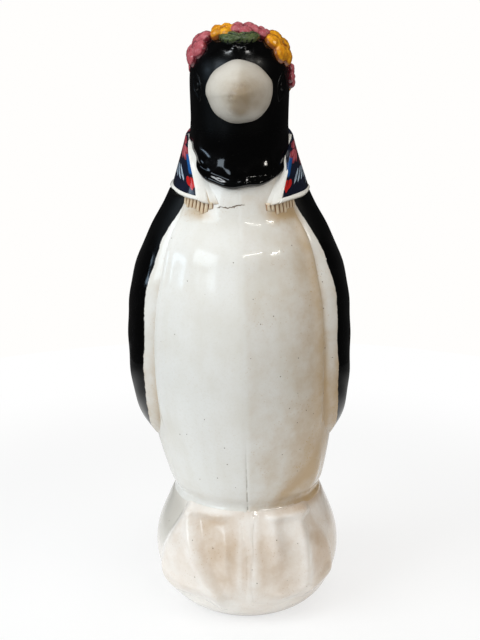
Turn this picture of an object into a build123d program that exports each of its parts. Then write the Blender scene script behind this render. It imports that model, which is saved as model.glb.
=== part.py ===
from build123d import *
import os
from math import cos, pi, radians, sin, sqrt

os.makedirs("parts", exist_ok=True)

# Glazed ceramic figurine of a standing penguin with a flower wreath and a fringed shawl.
# Lengths in millimetres, +Z up, the penguin faces -Y, its own left side is +X.
# The origin is the middle of the flat foot that the plinth stands on.

# Plinth, a hollow bun of clay that carries the feet
plinth_height = 60.0
plinth_width = 94.0
plinth_depth = 95.6
floor_thickness = 7.0
vent_diameter = 3.2
vent_offset = 14.0

# Body, two pressed halves joined along a seam down the front and the back
body_height = 190.0
belly_width = 97.0
belly_depth = 95.0
belly_shift = 4.0
waist_width = 74.0
waist_depth = 75.0
neck_width = 45.0
neck_depth = 48.0
clay_wall = 6.0

# Head, one casting with the black neck
head_height = 78.5
head_width = 47.8
head_depth = 50.8
neck_overlap = 38.0
neck_joint_drop = 15.6
neck_joint_tilt = 26.0
head_core_height = 50.0

# Beak
beak_width = 32.6
beak_height = 31.0
beak_length = 27.0
beak_root_depth = 19.0
beak_lift = 2.0
beak_tilt = 5.0
jaw_step = 0.8

# Eyes
eye_length = 16.0
eye_width = 8.0
eye_rise = 0.9
pupil_diameter = 4.4
pupil_rise = 0.6
eye_azimuth = 55.0
eye_elevation = 9.0
eye_slant = 70.0

# Flippers
flipper_thickness = 7.0
flipper_edge_radius = 2.6

# Feet
toe_rise = 3.4
foot_root_share = 0.8

# Tail
tail_length = 36.0
tail_width = 30.0
tail_thickness = 18.0
tail_height = 94.0
tail_slope = 64.0

# Shawl
cloth_thickness = 3.0
border_rise = 0.6
collar_height = 29.0
collar_tilt = 18.0
hem_drop = 35.0
hem_height = 2.7
lapel_inner_top = 46.0
lapel_inner_bottom = 24.0
lapel_outer_top = 48.6
lapel_outer_bottom = 37.0
lapel_height = 28.0

# Fringe under the hem
fringe_height = 5.5
fringe_thickness = 1.8
fringe_knot_height = 1.2
fringe_slot = 0.6
fringe_pitch = 2.5

# Wreath
flower_diameter = 15.6
flower_height = 4.8
leaf_length = 14.0
leaf_width = 8.0
leaf_height = 2.8

# Ring tables. Each row is a level ring: height, width, depth, sideways and forward place.
# Heights, widths and depths are shares of the named sizes, places shares of the shift or depth.
plinth_ring_shares = (
    (0.0, 0.670, 0.701, 0.0),
    (0.10, 0.830, 0.876, 0.0),
    (0.26, 0.947, 0.975, 0.0),
    (0.46, 0.998, 0.998, 0.008),
    (0.66, 0.966, 0.962, 0.010),
    (0.84, 0.877, 0.879, 0.008),
)
body_ring_shares = (
    (0.126, 0.882, 0.888, 0.40, 0.010),
    (0.274, 0.973, 0.981, 0.84, 0.019),
    (0.432, 1.0, 1.0, 1.0, 0.022),
    (0.589, 0.944, 0.922, 1.0, 0.009),
    (0.726, 0.761, 0.735, 1.0, 0.0),
)
shoulder_height_share = 0.863
shoulder_blend_share = 0.66
collar_ring_shares = (
    (0.0, 1.244, 1.312),
    (0.20, 1.102, 1.196),
    (0.42, 1.040, 1.083),
)
head_ring_shares = (
    (0.63, 0.996, 1.0),
    (0.79, 0.975, 0.972),
    (0.905, 0.837, 0.835),
    (0.975, 0.565, 0.563),
    (1.0, 0.126, 0.130),
)


def ring_skin(rings, grow=0.0):
    """Solid lofted through level ellipses; a ring is height, half width, half depth, x, y."""
    with BuildPart() as skin:
        for height, half_x, half_y, centre_x, centre_y in rings:
            with BuildSketch(Plane.XY.offset(height)):
                with Locations((centre_x, centre_y)):
                    Ellipse(half_x + grow, half_y + grow)
        loft()
    return skin.part


# Rings of the plinth, the body, the head and the shawl in millimetres
waist_ring = (plinth_height, waist_width / 2, waist_depth / 2, 0.0, 0.0)
plinth_rings = [
    (height * plinth_height, width * plinth_width / 2, depth * plinth_depth / 2, 0.0, -forward * plinth_depth)
    for height, width, depth, forward in plinth_ring_shares
]
plinth_rings.append(waist_ring)

body_rings = [waist_ring]
for height, width, depth, sideways, forward in body_ring_shares:
    body_rings.append(
        (
            plinth_height + height * body_height,
            width * belly_width / 2,
            depth * belly_depth / 2,
            -sideways * belly_shift,
            -forward * belly_depth,
        )
    )
neck_ring = (plinth_height + body_height, neck_width / 2, neck_depth / 2, -belly_shift, 0.0)
chest_ring = body_rings[-1]
shoulder_ring = (
    plinth_height + shoulder_height_share * body_height,
    chest_ring[1] + shoulder_blend_share * (neck_ring[1] - chest_ring[1]),
    chest_ring[2] + shoulder_blend_share * (neck_ring[2] - chest_ring[2]),
    -belly_shift,
    0.0,
)
body_rings = body_rings + [shoulder_ring, neck_ring]

body_top = plinth_height + body_height
head_base = body_top - neck_overlap
head_top = head_base + head_height
head_rings = [
    (head_base + height * head_height, width * neck_width / 2, depth * neck_depth / 2, -belly_shift, 0.0)
    for height, width, depth in collar_ring_shares
]
head_rings += [
    (head_base + height * head_height, width * head_width / 2, depth * head_depth / 2, -belly_shift, 0.0)
    for height, width, depth in head_ring_shares
]

# Outer skins, which every applied piece is cut to
plinth_skin = ring_skin(plinth_rings)
body_skin = ring_skin(body_rings)
head_skin = ring_skin(head_rings)

# The neck joint leans back, so the black neck ends lower in front
neck_joint = Plane(
    origin=(-belly_shift, 0.0, body_top - neck_joint_drop), x_dir=(1, 0, 0),
    z_dir=(0, -sin(radians(neck_joint_tilt)), cos(radians(neck_joint_tilt))),
)
# The seam follows the lean of the body
seam = Plane(
    origin=(0.0, 0.0, plinth_height), x_dir=(0, 1, 0),
    z_dir=(body_height, 0.0, belly_shift * (1 + shoulder_blend_share / 2)),
)

# Plinth
with BuildPart() as plinth:
    add(plinth_skin)
    # hollow above the floor, open to the body
    floor_ring = (floor_thickness,) + plinth_rings[1][1:]
    add(ring_skin([floor_ring] + plinth_rings[2::2], -clay_wall), mode=Mode.SUBTRACT)
    # pin hole that let the air out in the kiln
    with Locations((0, vent_offset, floor_thickness)):
        Hole(vent_diameter / 2)
plinth.part.label = "plinth"
export_step(plinth.part, "parts/plinth.step")

# Body shell, then its two halves
with BuildPart() as body_shell:
    add(body_skin)
    add(ring_skin(body_rings[:1] + body_rings[1::2], -clay_wall), mode=Mode.SUBTRACT)
    split(bisect_by=neck_joint, keep=Keep.BOTTOM)

with BuildPart() as body_left_half:
    add(body_shell.part)
    split(bisect_by=seam, keep=Keep.TOP)
body_left_half.part.label = "body_left_half"
export_step(body_left_half.part, "parts/body_left_half.step")

with BuildPart() as body_right_half:
    add(body_shell.part)
    split(bisect_by=seam, keep=Keep.BOTTOM)
body_right_half.part.label = "body_right_half"
export_step(body_right_half.part, "parts/body_right_half.step")

# Head
head_hollow_rings = head_rings[0:5:2] + [(head_top - clay_wall,) + head_rings[-2][1:]]
with BuildPart() as head:
    add(head_skin)
    add(ring_skin(head_hollow_rings, -clay_wall), mode=Mode.SUBTRACT)
    split(bisect_by=neck_joint, keep=Keep.TOP)
head.part.label = "head"
export_step(head.part, "parts/head.step")


def head_point(azimuth, elevation):
    """Point of the head's skin seen from its core, and the direction from the core to it."""
    core = Vector(-belly_shift, 0.0, head_base + head_core_height)
    way = Vector(
        cos(radians(elevation)) * sin(radians(azimuth)),
        -cos(radians(elevation)) * cos(radians(azimuth)),
        sin(radians(elevation)),
    )
    near = 0.0
    far = head_height
    for _ in range(40):
        middle = (near + far) / 2
        point = core + way * middle
        if inside_head(point):
            near = middle
        else:
            far = middle
    return core + way * near, way


def inside_head(point):
    """Whether a point lies inside the straight-sided rings of the head."""
    for below, above in zip(head_rings, head_rings[1:]):
        if below[0] <= point.Z <= above[0]:
            part_way = (point.Z - below[0]) / (above[0] - below[0])
            half_x = below[1] + part_way * (above[1] - below[1])
            half_y = below[2] + part_way * (above[2] - below[2])
            return ((point.X + belly_shift) / half_x) ** 2 + (point.Y / half_y) ** 2 < 1
    return False


def surface_plane(point, way, turn):
    """Plane that faces away from the head's core, its x axis turned up from level."""
    level = Vector(-way.Y, way.X, 0).normalized()
    across = level * cos(radians(turn)) + way.cross(level) * sin(radians(turn))
    return Plane(origin=point, x_dir=across, z_dir=way)


# Beak: a stout cone, its lower jaw a step inside the upper one
beak_ring_shares = (
    (-0.25, 1.0, 1.0),
    (0.0, 1.0, 1.0),
    (0.24, 0.945, 0.94),
    (0.50, 0.79, 0.77),
    (0.75, 0.56, 0.53),
    (0.93, 0.30, 0.27),
    (1.0, 0.10, 0.09),
)
beak_root = Vector(-belly_shift, -beak_root_depth, head_base + head_core_height + beak_lift)
beak_way = Vector(0, -cos(radians(beak_tilt)), sin(radians(beak_tilt)))


def beak_cone(inset):
    """Cone lofted through the rings of the beak, every ring smaller by the inset."""
    with BuildPart() as cone:
        for along, width, height in beak_ring_shares:
            centre = beak_root + beak_way * (along * (beak_length - inset))
            with BuildSketch(Plane(origin=centre, x_dir=(1, 0, 0), z_dir=beak_way)):
                Ellipse(width * (beak_width / 2 - inset), height * (beak_height / 2 - inset))
        loft()
    return cone.part


mouth = Plane(origin=beak_root, x_dir=(1, 0, 0), z_dir=beak_way).rotated((90, 0, 0))
with BuildPart() as lower_jaw:
    add(beak_cone(jaw_step))
    split(bisect_by=mouth, keep=Keep.BOTTOM)
with BuildPart() as upper_jaw:
    add(beak_cone(0.0))
    split(bisect_by=mouth, keep=Keep.TOP)
with BuildPart() as beak:
    add(upper_jaw.part)
    add(lower_jaw.part)
    add(head_skin, mode=Mode.SUBTRACT)
beak.part.label = "beak"
export_step(beak.part, "parts/beak.step")


lid_skin = ring_skin(head_rings, eye_rise)
pupil_skin = ring_skin(head_rings, eye_rise + pupil_rise)


def eye(side):
    """Almond eye that follows the side of the head, with a raised pupil."""
    point, way = head_point(side * eye_azimuth, eye_elevation)
    face = surface_plane(point, way, side * eye_slant)
    with BuildPart() as pupil:
        with BuildSketch(face.offset(-eye_width / 2)):
            Circle(pupil_diameter / 2)
        extrude(amount=eye_width)
        add(pupil_skin, mode=Mode.INTERSECT)
    with BuildPart() as almond:
        with BuildSketch(face.offset(-eye_width / 2)):
            with BuildLine():
                ThreePointArc((-eye_length / 2, 0), (0, eye_width / 2), (eye_length / 2, 0))
                ThreePointArc((eye_length / 2, 0), (0, -eye_width / 2), (-eye_length / 2, 0))
            make_face()
        extrude(amount=eye_width)
        add(lid_skin, mode=Mode.INTERSECT)
        add(pupil.part)
        add(head_skin, mode=Mode.SUBTRACT)
        add(beak.part, mode=Mode.SUBTRACT)
    return almond.part


left_eye = eye(1)
left_eye.label = "left_eye"
export_step(left_eye, "parts/left_eye.step")
right_eye = eye(-1)
right_eye.label = "right_eye"
export_step(right_eye, "parts/right_eye.step")


def ring_at(rings, height):
    """Ring at a height, on the straight line between its neighbours."""
    for below, above in zip(rings, rings[1:]):
        if below[0] <= height <= above[0]:
            part_way = (height - below[0]) / (above[0] - below[0])
            return tuple(low + part_way * (high - low) for low, high in zip(below, above))
    return rings[-1]


# Flippers. Each row: height, thickness, front and rear edge as shares of the body's sizes there
flipper_shares = (
    (0.172, 0.16, -0.34, -0.16),
    (0.208, 0.62, -0.46, 0.05),
    (0.270, 0.94, -0.56, 0.29),
    (0.400, 1.0, -0.60, 0.43),
    (0.550, 1.0, -0.61, 0.49),
    (0.700, 0.83, -0.62, 0.50),
    (0.830, 0.42, -0.59, 0.45),
)
hem_bottom = body_top - hem_drop - hem_height


def flipper(side):
    """Slab that follows the body from the shoulder to a thin tip, its outer edges rounded."""
    with BuildPart() as slab:
        for level, thickness, front, rear in flipper_shares:
            height, half_x, half_y, centre_x, centre_y = ring_at(body_rings, plinth_height + level * body_height)
            grow = thickness * flipper_thickness

            def edge_point(share):
                y = share * half_y
                return (centre_x + side * (half_x + grow) * sqrt(1 - (y / (half_y + grow)) ** 2), centre_y + y)

            root_x = centre_x + side * half_x / 2
            with BuildSketch(Plane.XY.offset(height)) as section:
                with BuildLine():
                    ThreePointArc(edge_point(front), edge_point((front + rear) / 2), edge_point(rear))
                    Polyline(
                        edge_point(rear),
                        (root_x, edge_point(rear)[1]),
                        (root_x, edge_point(front)[1]),
                        edge_point(front),
                    )
                make_face()
                corners = section.vertices().sort_by(Axis.X)
                fillet(corners[-2:] if side > 0 else corners[:2], flipper_edge_radius * thickness)
        loft()
        split(bisect_by=Plane.XY.offset(hem_bottom), keep=Keep.BOTTOM)
        add(body_skin, mode=Mode.SUBTRACT)
    return slab.part


left_flipper = flipper(1)
left_flipper.label = "left_flipper"
export_step(left_flipper, "parts/left_flipper.step")
right_flipper = flipper(-1)
right_flipper.label = "right_flipper"
export_step(right_flipper, "parts/right_flipper.step")

# Feet. Each row: height and rise shares, then the angles of both edges and the toe gaps
foot_shares = (
    (1.0, 0.30, 8.0, 18.0, 30.0, 44.0),
    (0.86, 0.75, 5.0, 18.0, 36.0, 54.0),
    (0.68, 1.0, 3.0, 19.0, 41.0, 63.0),
    (0.50, 1.0, 1.5, 19.5, 45.0, 69.0),
    (0.34, 0.70, 1.5, 20.0, 46.0, 70.0),
    (0.22, -0.25, 3.0, 20.0, 45.0, 66.0),
)
toe_gap_share = 0.35


def foot(side):
    """Webbed foot with three toes that runs down the front of the plinth."""
    with BuildPart() as web:
        for level, rise, inner, first_gap, second_gap, outer in foot_shares:
            height, half_x, half_y, centre_x, centre_y = ring_at(plinth_rings, level * plinth_height)

            def rim(angle, grow):
                return (
                    centre_x + side * (half_x + grow) * sin(radians(angle)),
                    centre_y - (half_y + grow) * cos(radians(angle)),
                )

            crest = rise * toe_rise
            gap = crest * toe_gap_share if crest > 0 else crest
            edge = -toe_rise / 4
            with BuildSketch(Plane.XY.offset(height)):
                with BuildLine():
                    ThreePointArc(rim(inner, edge), rim((inner + first_gap) / 2, crest), rim(first_gap, gap))
                    ThreePointArc(
                        rim(first_gap, gap), rim((first_gap + second_gap) / 2, crest), rim(second_gap, gap)
                    )
                    ThreePointArc(rim(second_gap, gap), rim((second_gap + outer) / 2, crest), rim(outer, edge))
                    root = -(1 - foot_root_share) * half_x
                    Polyline(rim(outer, edge), rim(outer, root), rim(inner, root), rim(inner, edge))
                make_face()
        loft()
        add(plinth_skin, mode=Mode.SUBTRACT)
        add(body_skin, mode=Mode.SUBTRACT)
    return web.part


left_foot = foot(1)
left_foot.label = "left_foot"
export_step(left_foot, "parts/left_foot.step")
right_foot = foot(-1)
right_foot.label = "right_foot"
export_step(right_foot, "parts/right_foot.step")

# Tail, a short tapered stub low on the back
tail_ring_shares = (
    (0.0, 1.0, 1.0),
    (0.35, 0.92, 0.85),
    (0.72, 0.66, 0.60),
    (0.94, 0.34, 0.34),
    (1.0, 0.12, 0.12),
)
tail_way = Vector(0, cos(radians(tail_slope)), -sin(radians(tail_slope)))
tail_root = Vector(0, waist_depth / 2, tail_height)
with BuildPart() as tail:
    for along, width, thick in tail_ring_shares:
        centre = tail_root + tail_way * (along * tail_length)
        with BuildSketch(Plane(origin=centre, x_dir=(1, 0, 0), z_dir=tail_way)):
            Ellipse(width * tail_width / 2, thick * tail_thickness / 2)
    loft()
    add(body_skin, mode=Mode.SUBTRACT)
    add(plinth_skin, mode=Mode.SUBTRACT)
tail.part.label = "tail"
export_step(tail.part, "parts/tail.step")

# Shawl skin over the shoulders and the neck
shawl_grow_shares = (0.60, 1.05, 0.6)
shawl_rings = [
    (ring[0], ring[1] + share * cloth_thickness, ring[2] + share * cloth_thickness, ring[3], ring[4])
    for ring, share in zip(body_rings[-3:], shawl_grow_shares)
]
shawl_skin = ring_skin(shawl_rings)
border_skin = ring_skin(shawl_rings, border_rise)
collar_edge = Plane(
    origin=(-belly_shift, 0.0, hem_bottom + collar_height), x_dir=(1, 0, 0),
    z_dir=(0, -sin(radians(collar_tilt)), cos(radians(collar_tilt))),
)
hem_top = hem_bottom + hem_height


def front_wedge(half_bottom, half_top):
    """Prism that opens the front of the shawl, its sides straight from the hem to the neck."""
    slope = (half_top - half_bottom) / lapel_height
    low = hem_bottom - 2 * fringe_height
    high = body_top + fringe_height
    with BuildPart() as wedge:
        with BuildSketch(Plane.XZ):
            with BuildLine():
                Polyline(
                    (-belly_shift - half_bottom - slope * (low - hem_bottom), low),
                    (-belly_shift + half_bottom + slope * (low - hem_bottom), low),
                    (-belly_shift + half_bottom + slope * (high - hem_bottom), high),
                    (-belly_shift - half_bottom - slope * (high - hem_bottom), high),
                    close=True,
                )
            make_face()
        extrude(amount=belly_depth)
    return wedge.part


cloth_opening = front_wedge(lapel_outer_bottom / 2, lapel_outer_top / 2)
lapel_opening = front_wedge(lapel_inner_bottom / 2, lapel_inner_top / 2)

# Shawl cloth, round the back from one lapel to the other
with BuildPart() as shawl_cloth:
    add(shawl_skin)
    split(bisect_by=Plane.XY.offset(hem_top), keep=Keep.TOP)
    split(bisect_by=collar_edge, keep=Keep.BOTTOM)
    add(body_skin, mode=Mode.SUBTRACT)
    add(head_skin, mode=Mode.SUBTRACT)
    add(cloth_opening, mode=Mode.SUBTRACT)
shawl_cloth.part.label = "shawl_cloth"
export_step(shawl_cloth.part, "parts/shawl_cloth.step")

# Hem border below the cloth
with BuildPart() as shawl_hem:
    add(border_skin)
    split(bisect_by=Plane.XY.offset(hem_bottom), keep=Keep.TOP)
    split(bisect_by=Plane.XY.offset(hem_top), keep=Keep.BOTTOM)
    add(body_skin, mode=Mode.SUBTRACT)
    add(cloth_opening, mode=Mode.SUBTRACT)
shawl_hem.part.label = "shawl_hem"
export_step(shawl_hem.part, "parts/shawl_hem.step")

# Lapels, the two strips between the cloth and the front opening
with BuildPart() as lapels:
    add(border_skin)
    split(bisect_by=Plane.XY.offset(hem_bottom), keep=Keep.TOP)
    split(bisect_by=collar_edge, keep=Keep.BOTTOM)
    add(cloth_opening, mode=Mode.INTERSECT)
    add(lapel_opening, mode=Mode.SUBTRACT)
    add(body_skin, mode=Mode.SUBTRACT)
    add(head_skin, mode=Mode.SUBTRACT)
# the two strips; a crumb left where the collar edge grazes the skin is dropped
lapel_strips = lapels.solids().sort_by(SortBy.VOLUME)[-2:]
for name, strip in zip(("right_lapel", "left_lapel"), lapel_strips.sort_by(Axis.X)):
    lapel = Part(strip.wrapped, label=name)
    export_step(lapel, f"parts/{name}.step")

# Fringe, a knotted band cut into tassels, between and behind the flippers
fringe_ring = ring_at(body_rings, hem_bottom)
fringe_count = round(2 * pi * (fringe_ring[1] + fringe_thickness) / fringe_pitch)
with BuildPart() as fringe:
    add(ring_skin(body_rings, fringe_thickness))
    split(bisect_by=Plane.XY.offset(hem_bottom - fringe_height), keep=Keep.TOP)
    split(bisect_by=Plane.XY.offset(hem_bottom), keep=Keep.BOTTOM)
    add(body_skin, mode=Mode.SUBTRACT)
    add(left_flipper, mode=Mode.SUBTRACT)
    add(right_flipper, mode=Mode.SUBTRACT)
    add(lapel_opening, mode=Mode.SUBTRACT)
    with Locations((-belly_shift, 0, hem_bottom - fringe_knot_height)):
        with PolarLocations(fringe_ring[1], fringe_count):
            Box(
                fringe_ring[1], fringe_slot, fringe_height,
                align=(Align.CENTER, Align.CENTER, Align.MAX), mode=Mode.SUBTRACT,
            )
# the three long pieces; crumbs left beside the rounded flipper edges are dropped
fringe_pieces = fringe.solids().sort_by(SortBy.VOLUME)[-3:]
for name, strip in zip(("fringe_right", "fringe_back", "fringe_left"), fringe_pieces.sort_by(Axis.X)):
    tassels = Part(strip.wrapped, label=name)
    export_step(tassels, f"parts/{name}.step")

# Wreath. Each row: name, azimuth from the front, elevation seen from the core, size, petals
flower_shares = (
    ("flower_pink_top", 10.0, 75.0, 0.98, 5),
    ("flower_yellow_left", 76.0, 45.0, 1.20, 5),
    ("flower_pink_right", -84.0, 43.0, 1.26, 5),
    ("flower_yellow_right", -52.0, 68.0, 0.90, 5),
    ("flower_pink_small", 57.0, 69.0, 0.62, 5),
    ("flower_pink_left_low", 99.0, 15.0, 0.88, 5),
    ("flower_pink_right_low", -124.0, 23.0, 0.95, 5),
    ("flower_yellow_back_left", 122.0, 3.0, 0.92, 5),
    ("flower_yellow_back_right", -149.0, 8.0, 0.95, 5),
    ("flower_pink_back_left", 145.0, -3.0, 0.92, 5),
    ("flower_pink_back_right", -174.0, -1.0, 0.95, 5),
    ("flower_yellow_back", 166.0, -5.0, 0.80, 5),
)
flower_layer_shares = ((-0.5, 0.92), (0.45, 1.0), (1.0, 0.60))
petal_gap_share = 0.82


def flower(azimuth, elevation, size, petals):
    """Domed flower with rounded petals, its root inside the head."""
    point, way = head_point(azimuth, elevation)
    face = Plane(origin=point, z_dir=way)
    radius = size * flower_diameter / 2
    height = flower_height * sqrt(size)
    turn = 2 * pi / petals
    with BuildPart() as bloom:
        for level, spread in flower_layer_shares:
            with BuildSketch(face.offset(level * height)):
                with BuildLine():
                    for petal in range(petals):
                        start = petal * turn
                        crest = spread * radius
                        gap = crest * petal_gap_share
                        ThreePointArc(
                            (gap * cos(start), gap * sin(start)),
                            (crest * cos(start + turn / 2), crest * sin(start + turn / 2)),
                            (gap * cos(start + turn), gap * sin(start + turn)),
                        )
                make_face()
        loft(ruled=True)
    return bloom.part


def seat(piece, name, others):
    """Cut a piece of the wreath to the head and to the pieces that lie against it."""
    box = piece.bounding_box()
    near = [other for other in others if box.overlaps(other.bounding_box())]
    with BuildPart() as seated:
        add(piece)
        add([head_skin] + near, mode=Mode.SUBTRACT)
    seated.part.label = name
    export_step(seated.part, f"parts/{name}.step")
    return seated.part


wreath = []
for name, azimuth, elevation, size, petals in flower_shares:
    wreath.append(seat(flower(azimuth, elevation, size, petals), name, wreath))

# Leaves tucked under the flowers. Each row: name, azimuth, elevation, turn in the surface
leaf_shares = (
    ("leaf_front_left", 18.0, 61.0, 6.0),
    ("leaf_front_right", -21.0, 60.0, -10.0),
    ("leaf_back_left", 128.0, 28.0, -14.0),
    ("leaf_back_right", -152.0, 32.0, 16.0),
)
leaf_layer_shares = ((-0.9, 1.0), (0.25, 1.0), (0.7, 0.78), (1.0, 0.35))


def leaf(azimuth, elevation, turn):
    """Pointed leaf with a domed back, lying across the wreath."""
    point, way = head_point(azimuth, elevation)
    face = surface_plane(point, way, turn)
    with BuildPart() as blade:
        for level, spread in leaf_layer_shares:
            half_length = spread * leaf_length / 2
            half_width = spread * leaf_width / 2
            with BuildSketch(face.offset(level * leaf_height)):
                with BuildLine():
                    ThreePointArc((-half_length, 0), (0, half_width), (half_length, 0))
                    ThreePointArc((half_length, 0), (0, -half_width), (-half_length, 0))
                make_face()
        loft(ruled=True)
    return blade.part


for name, azimuth, elevation, turn in leaf_shares:
    wreath.append(seat(leaf(azimuth, elevation, turn), name, wreath))
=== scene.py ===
"""Glazed ceramic figurine of a standing penguin with a flower wreath and a fringed shawl.

Every sub-assembly is a class. It holds its sizes in millimetres, works its surfaces out with
numpy and hands them over in metres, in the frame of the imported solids: +Z is up and the
penguin faces -Y. Angles round a skin are counted from the front towards +X.
"""

import logging
from dataclasses import dataclass, field
from enum import Enum
from math import pi, radians, tan
from typing import Any, Callable, Sequence

import bpy
import numpy as np
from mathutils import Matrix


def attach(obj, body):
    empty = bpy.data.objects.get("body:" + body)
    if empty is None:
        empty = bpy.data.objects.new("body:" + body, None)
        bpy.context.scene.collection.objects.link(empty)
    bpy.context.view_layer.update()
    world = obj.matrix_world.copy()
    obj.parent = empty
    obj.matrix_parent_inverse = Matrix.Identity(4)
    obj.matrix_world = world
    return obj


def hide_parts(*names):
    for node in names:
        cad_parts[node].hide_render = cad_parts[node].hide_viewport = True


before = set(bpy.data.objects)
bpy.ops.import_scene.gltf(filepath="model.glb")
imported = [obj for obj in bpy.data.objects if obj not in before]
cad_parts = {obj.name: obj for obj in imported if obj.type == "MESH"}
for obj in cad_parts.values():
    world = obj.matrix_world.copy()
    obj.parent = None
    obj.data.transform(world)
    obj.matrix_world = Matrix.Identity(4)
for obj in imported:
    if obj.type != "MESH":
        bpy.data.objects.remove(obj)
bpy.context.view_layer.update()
MM = 0.001
BODY = "root"
LOG = logging.getLogger("penguin")

Array = np.ndarray
Colour = tuple[float, float, float]
JET: Colour = (0.0007, 0.0007, 0.0008)
# the seam of the body's two halves starts here in front and leans by this much a millimetre
SEAM_FOOT = 60.0
SEAM_LEAN = 0.0274
# the head ends on the body in a plane through this level of the axis, tilted by these degrees
JOINT_LEVEL = 234.4
JOINT_TILT = 26.0


class Side(Enum):
    """The penguin's own left or right; the value is the sign of X."""

    LEFT = 1
    RIGHT = -1

    @property
    def word(self) -> str:
        """The side's name, as the nodes have it."""
        return self.name.lower()


# Shapes worked out as arrays


def smooth_step(value: Array, low: float, high: float) -> Array:
    """Soft step from 0 to 1: 3t^2 - 2t^3, where t runs from 0 at low to 1 at high."""
    share = np.clip((np.asarray(value, float) - low) / (high - low), 0.0, 1.0)
    return share * share * (3 - 2 * share)


def bell(value: Array, middle: float | Array, width: float) -> Array:
    """Bell curve exp(-((value - middle) / width)^2)."""
    return np.exp(-(((value - middle) / width) ** 2))


def crest(value: Array, middle: float | Array, width: float) -> Array:
    """Ridge with a narrow crest: exp(0.25 - sqrt(t^2 + 0.0625)), t = (value - middle) / width."""
    return np.exp(0.25 - np.sqrt(((value - middle) / width) ** 2 + 0.0625))


def ridge(value: Array, soft: float, width: float) -> Array:
    """Ridge with a soft crest at 0: exp(-sqrt(value^2 + soft) / width)."""
    return np.exp(-np.sqrt(value**2 + soft) / width)


def rounded(share: Array) -> Array:
    """Quarter circle from 0 at 0 to 1 at 1: sqrt(1 - (1 - share)^2)."""
    return np.sqrt(1 - (1 - np.clip(share, 0, 1)) ** 2)


def wrapped(angle: Array) -> Array:
    """The same angle between -pi and pi."""
    return np.arctan2(np.sin(angle), np.cos(angle))


def bearing(azimuth: float, elevation: float) -> Array:
    """Unit vector by azimuth, from the front towards +X, and elevation, both in radians."""
    level = np.cos(elevation)
    return np.array([level * np.sin(azimuth), -level * np.cos(azimuth), np.sin(elevation)])


def downwards(count: int, low: float = 0.0, high: float = 1.0) -> Array:
    """Even steps along the rows of a grid."""
    return np.linspace(low, high, count)[:, None]


def sideways(count: int, low: float = 0.0, high: float = 1.0) -> Array:
    """Even steps along the columns of a grid."""
    return np.linspace(low, high, count)[None, :]


def once_round(count: int) -> Array:
    """Angles once round, along the columns of a grid."""
    return np.linspace(0, 2 * pi, count, endpoint=False)[None, :]


def spline_table(rows: Array, samples: int) -> Array:
    """Points along the natural cubic spline through the rows, even by chord length.

    Args:
        rows: One knot a row, any number of columns.
        samples: How many points to work out.

    Returns:
        The points, one a row.
    """
    knots = np.concatenate([[0.0], np.cumsum(np.hypot(np.diff(rows[:, 0]), np.diff(rows[:, 1])))])
    count = len(knots)
    gap = np.diff(knots)
    left = np.eye(count)
    right = np.zeros_like(rows)
    for knot in range(1, count - 1):
        left[knot, knot - 1 : knot + 2] = gap[knot - 1], 2 * (gap[knot - 1] + gap[knot]), gap[knot]
        right[knot] = 6 * (
            (rows[knot + 1] - rows[knot]) / gap[knot] - (rows[knot] - rows[knot - 1]) / gap[knot - 1]
        )
    bend = np.linalg.solve(left, right)
    place = np.linspace(0.0, knots[-1], samples)
    cell = np.clip(np.searchsorted(knots, place, side="right") - 1, 0, count - 2)
    ahead = (knots[cell + 1] - place)[:, None]
    behind = (place - knots[cell])[:, None]
    width = gap[cell][:, None]
    return (
        (bend[cell] * ahead**3 + bend[cell + 1] * behind**3) / (6 * width)
        + (rows[cell] / width - bend[cell] * width / 6) * ahead
        + (rows[cell + 1] / width - bend[cell + 1] * width / 6) * behind
    )


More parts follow.
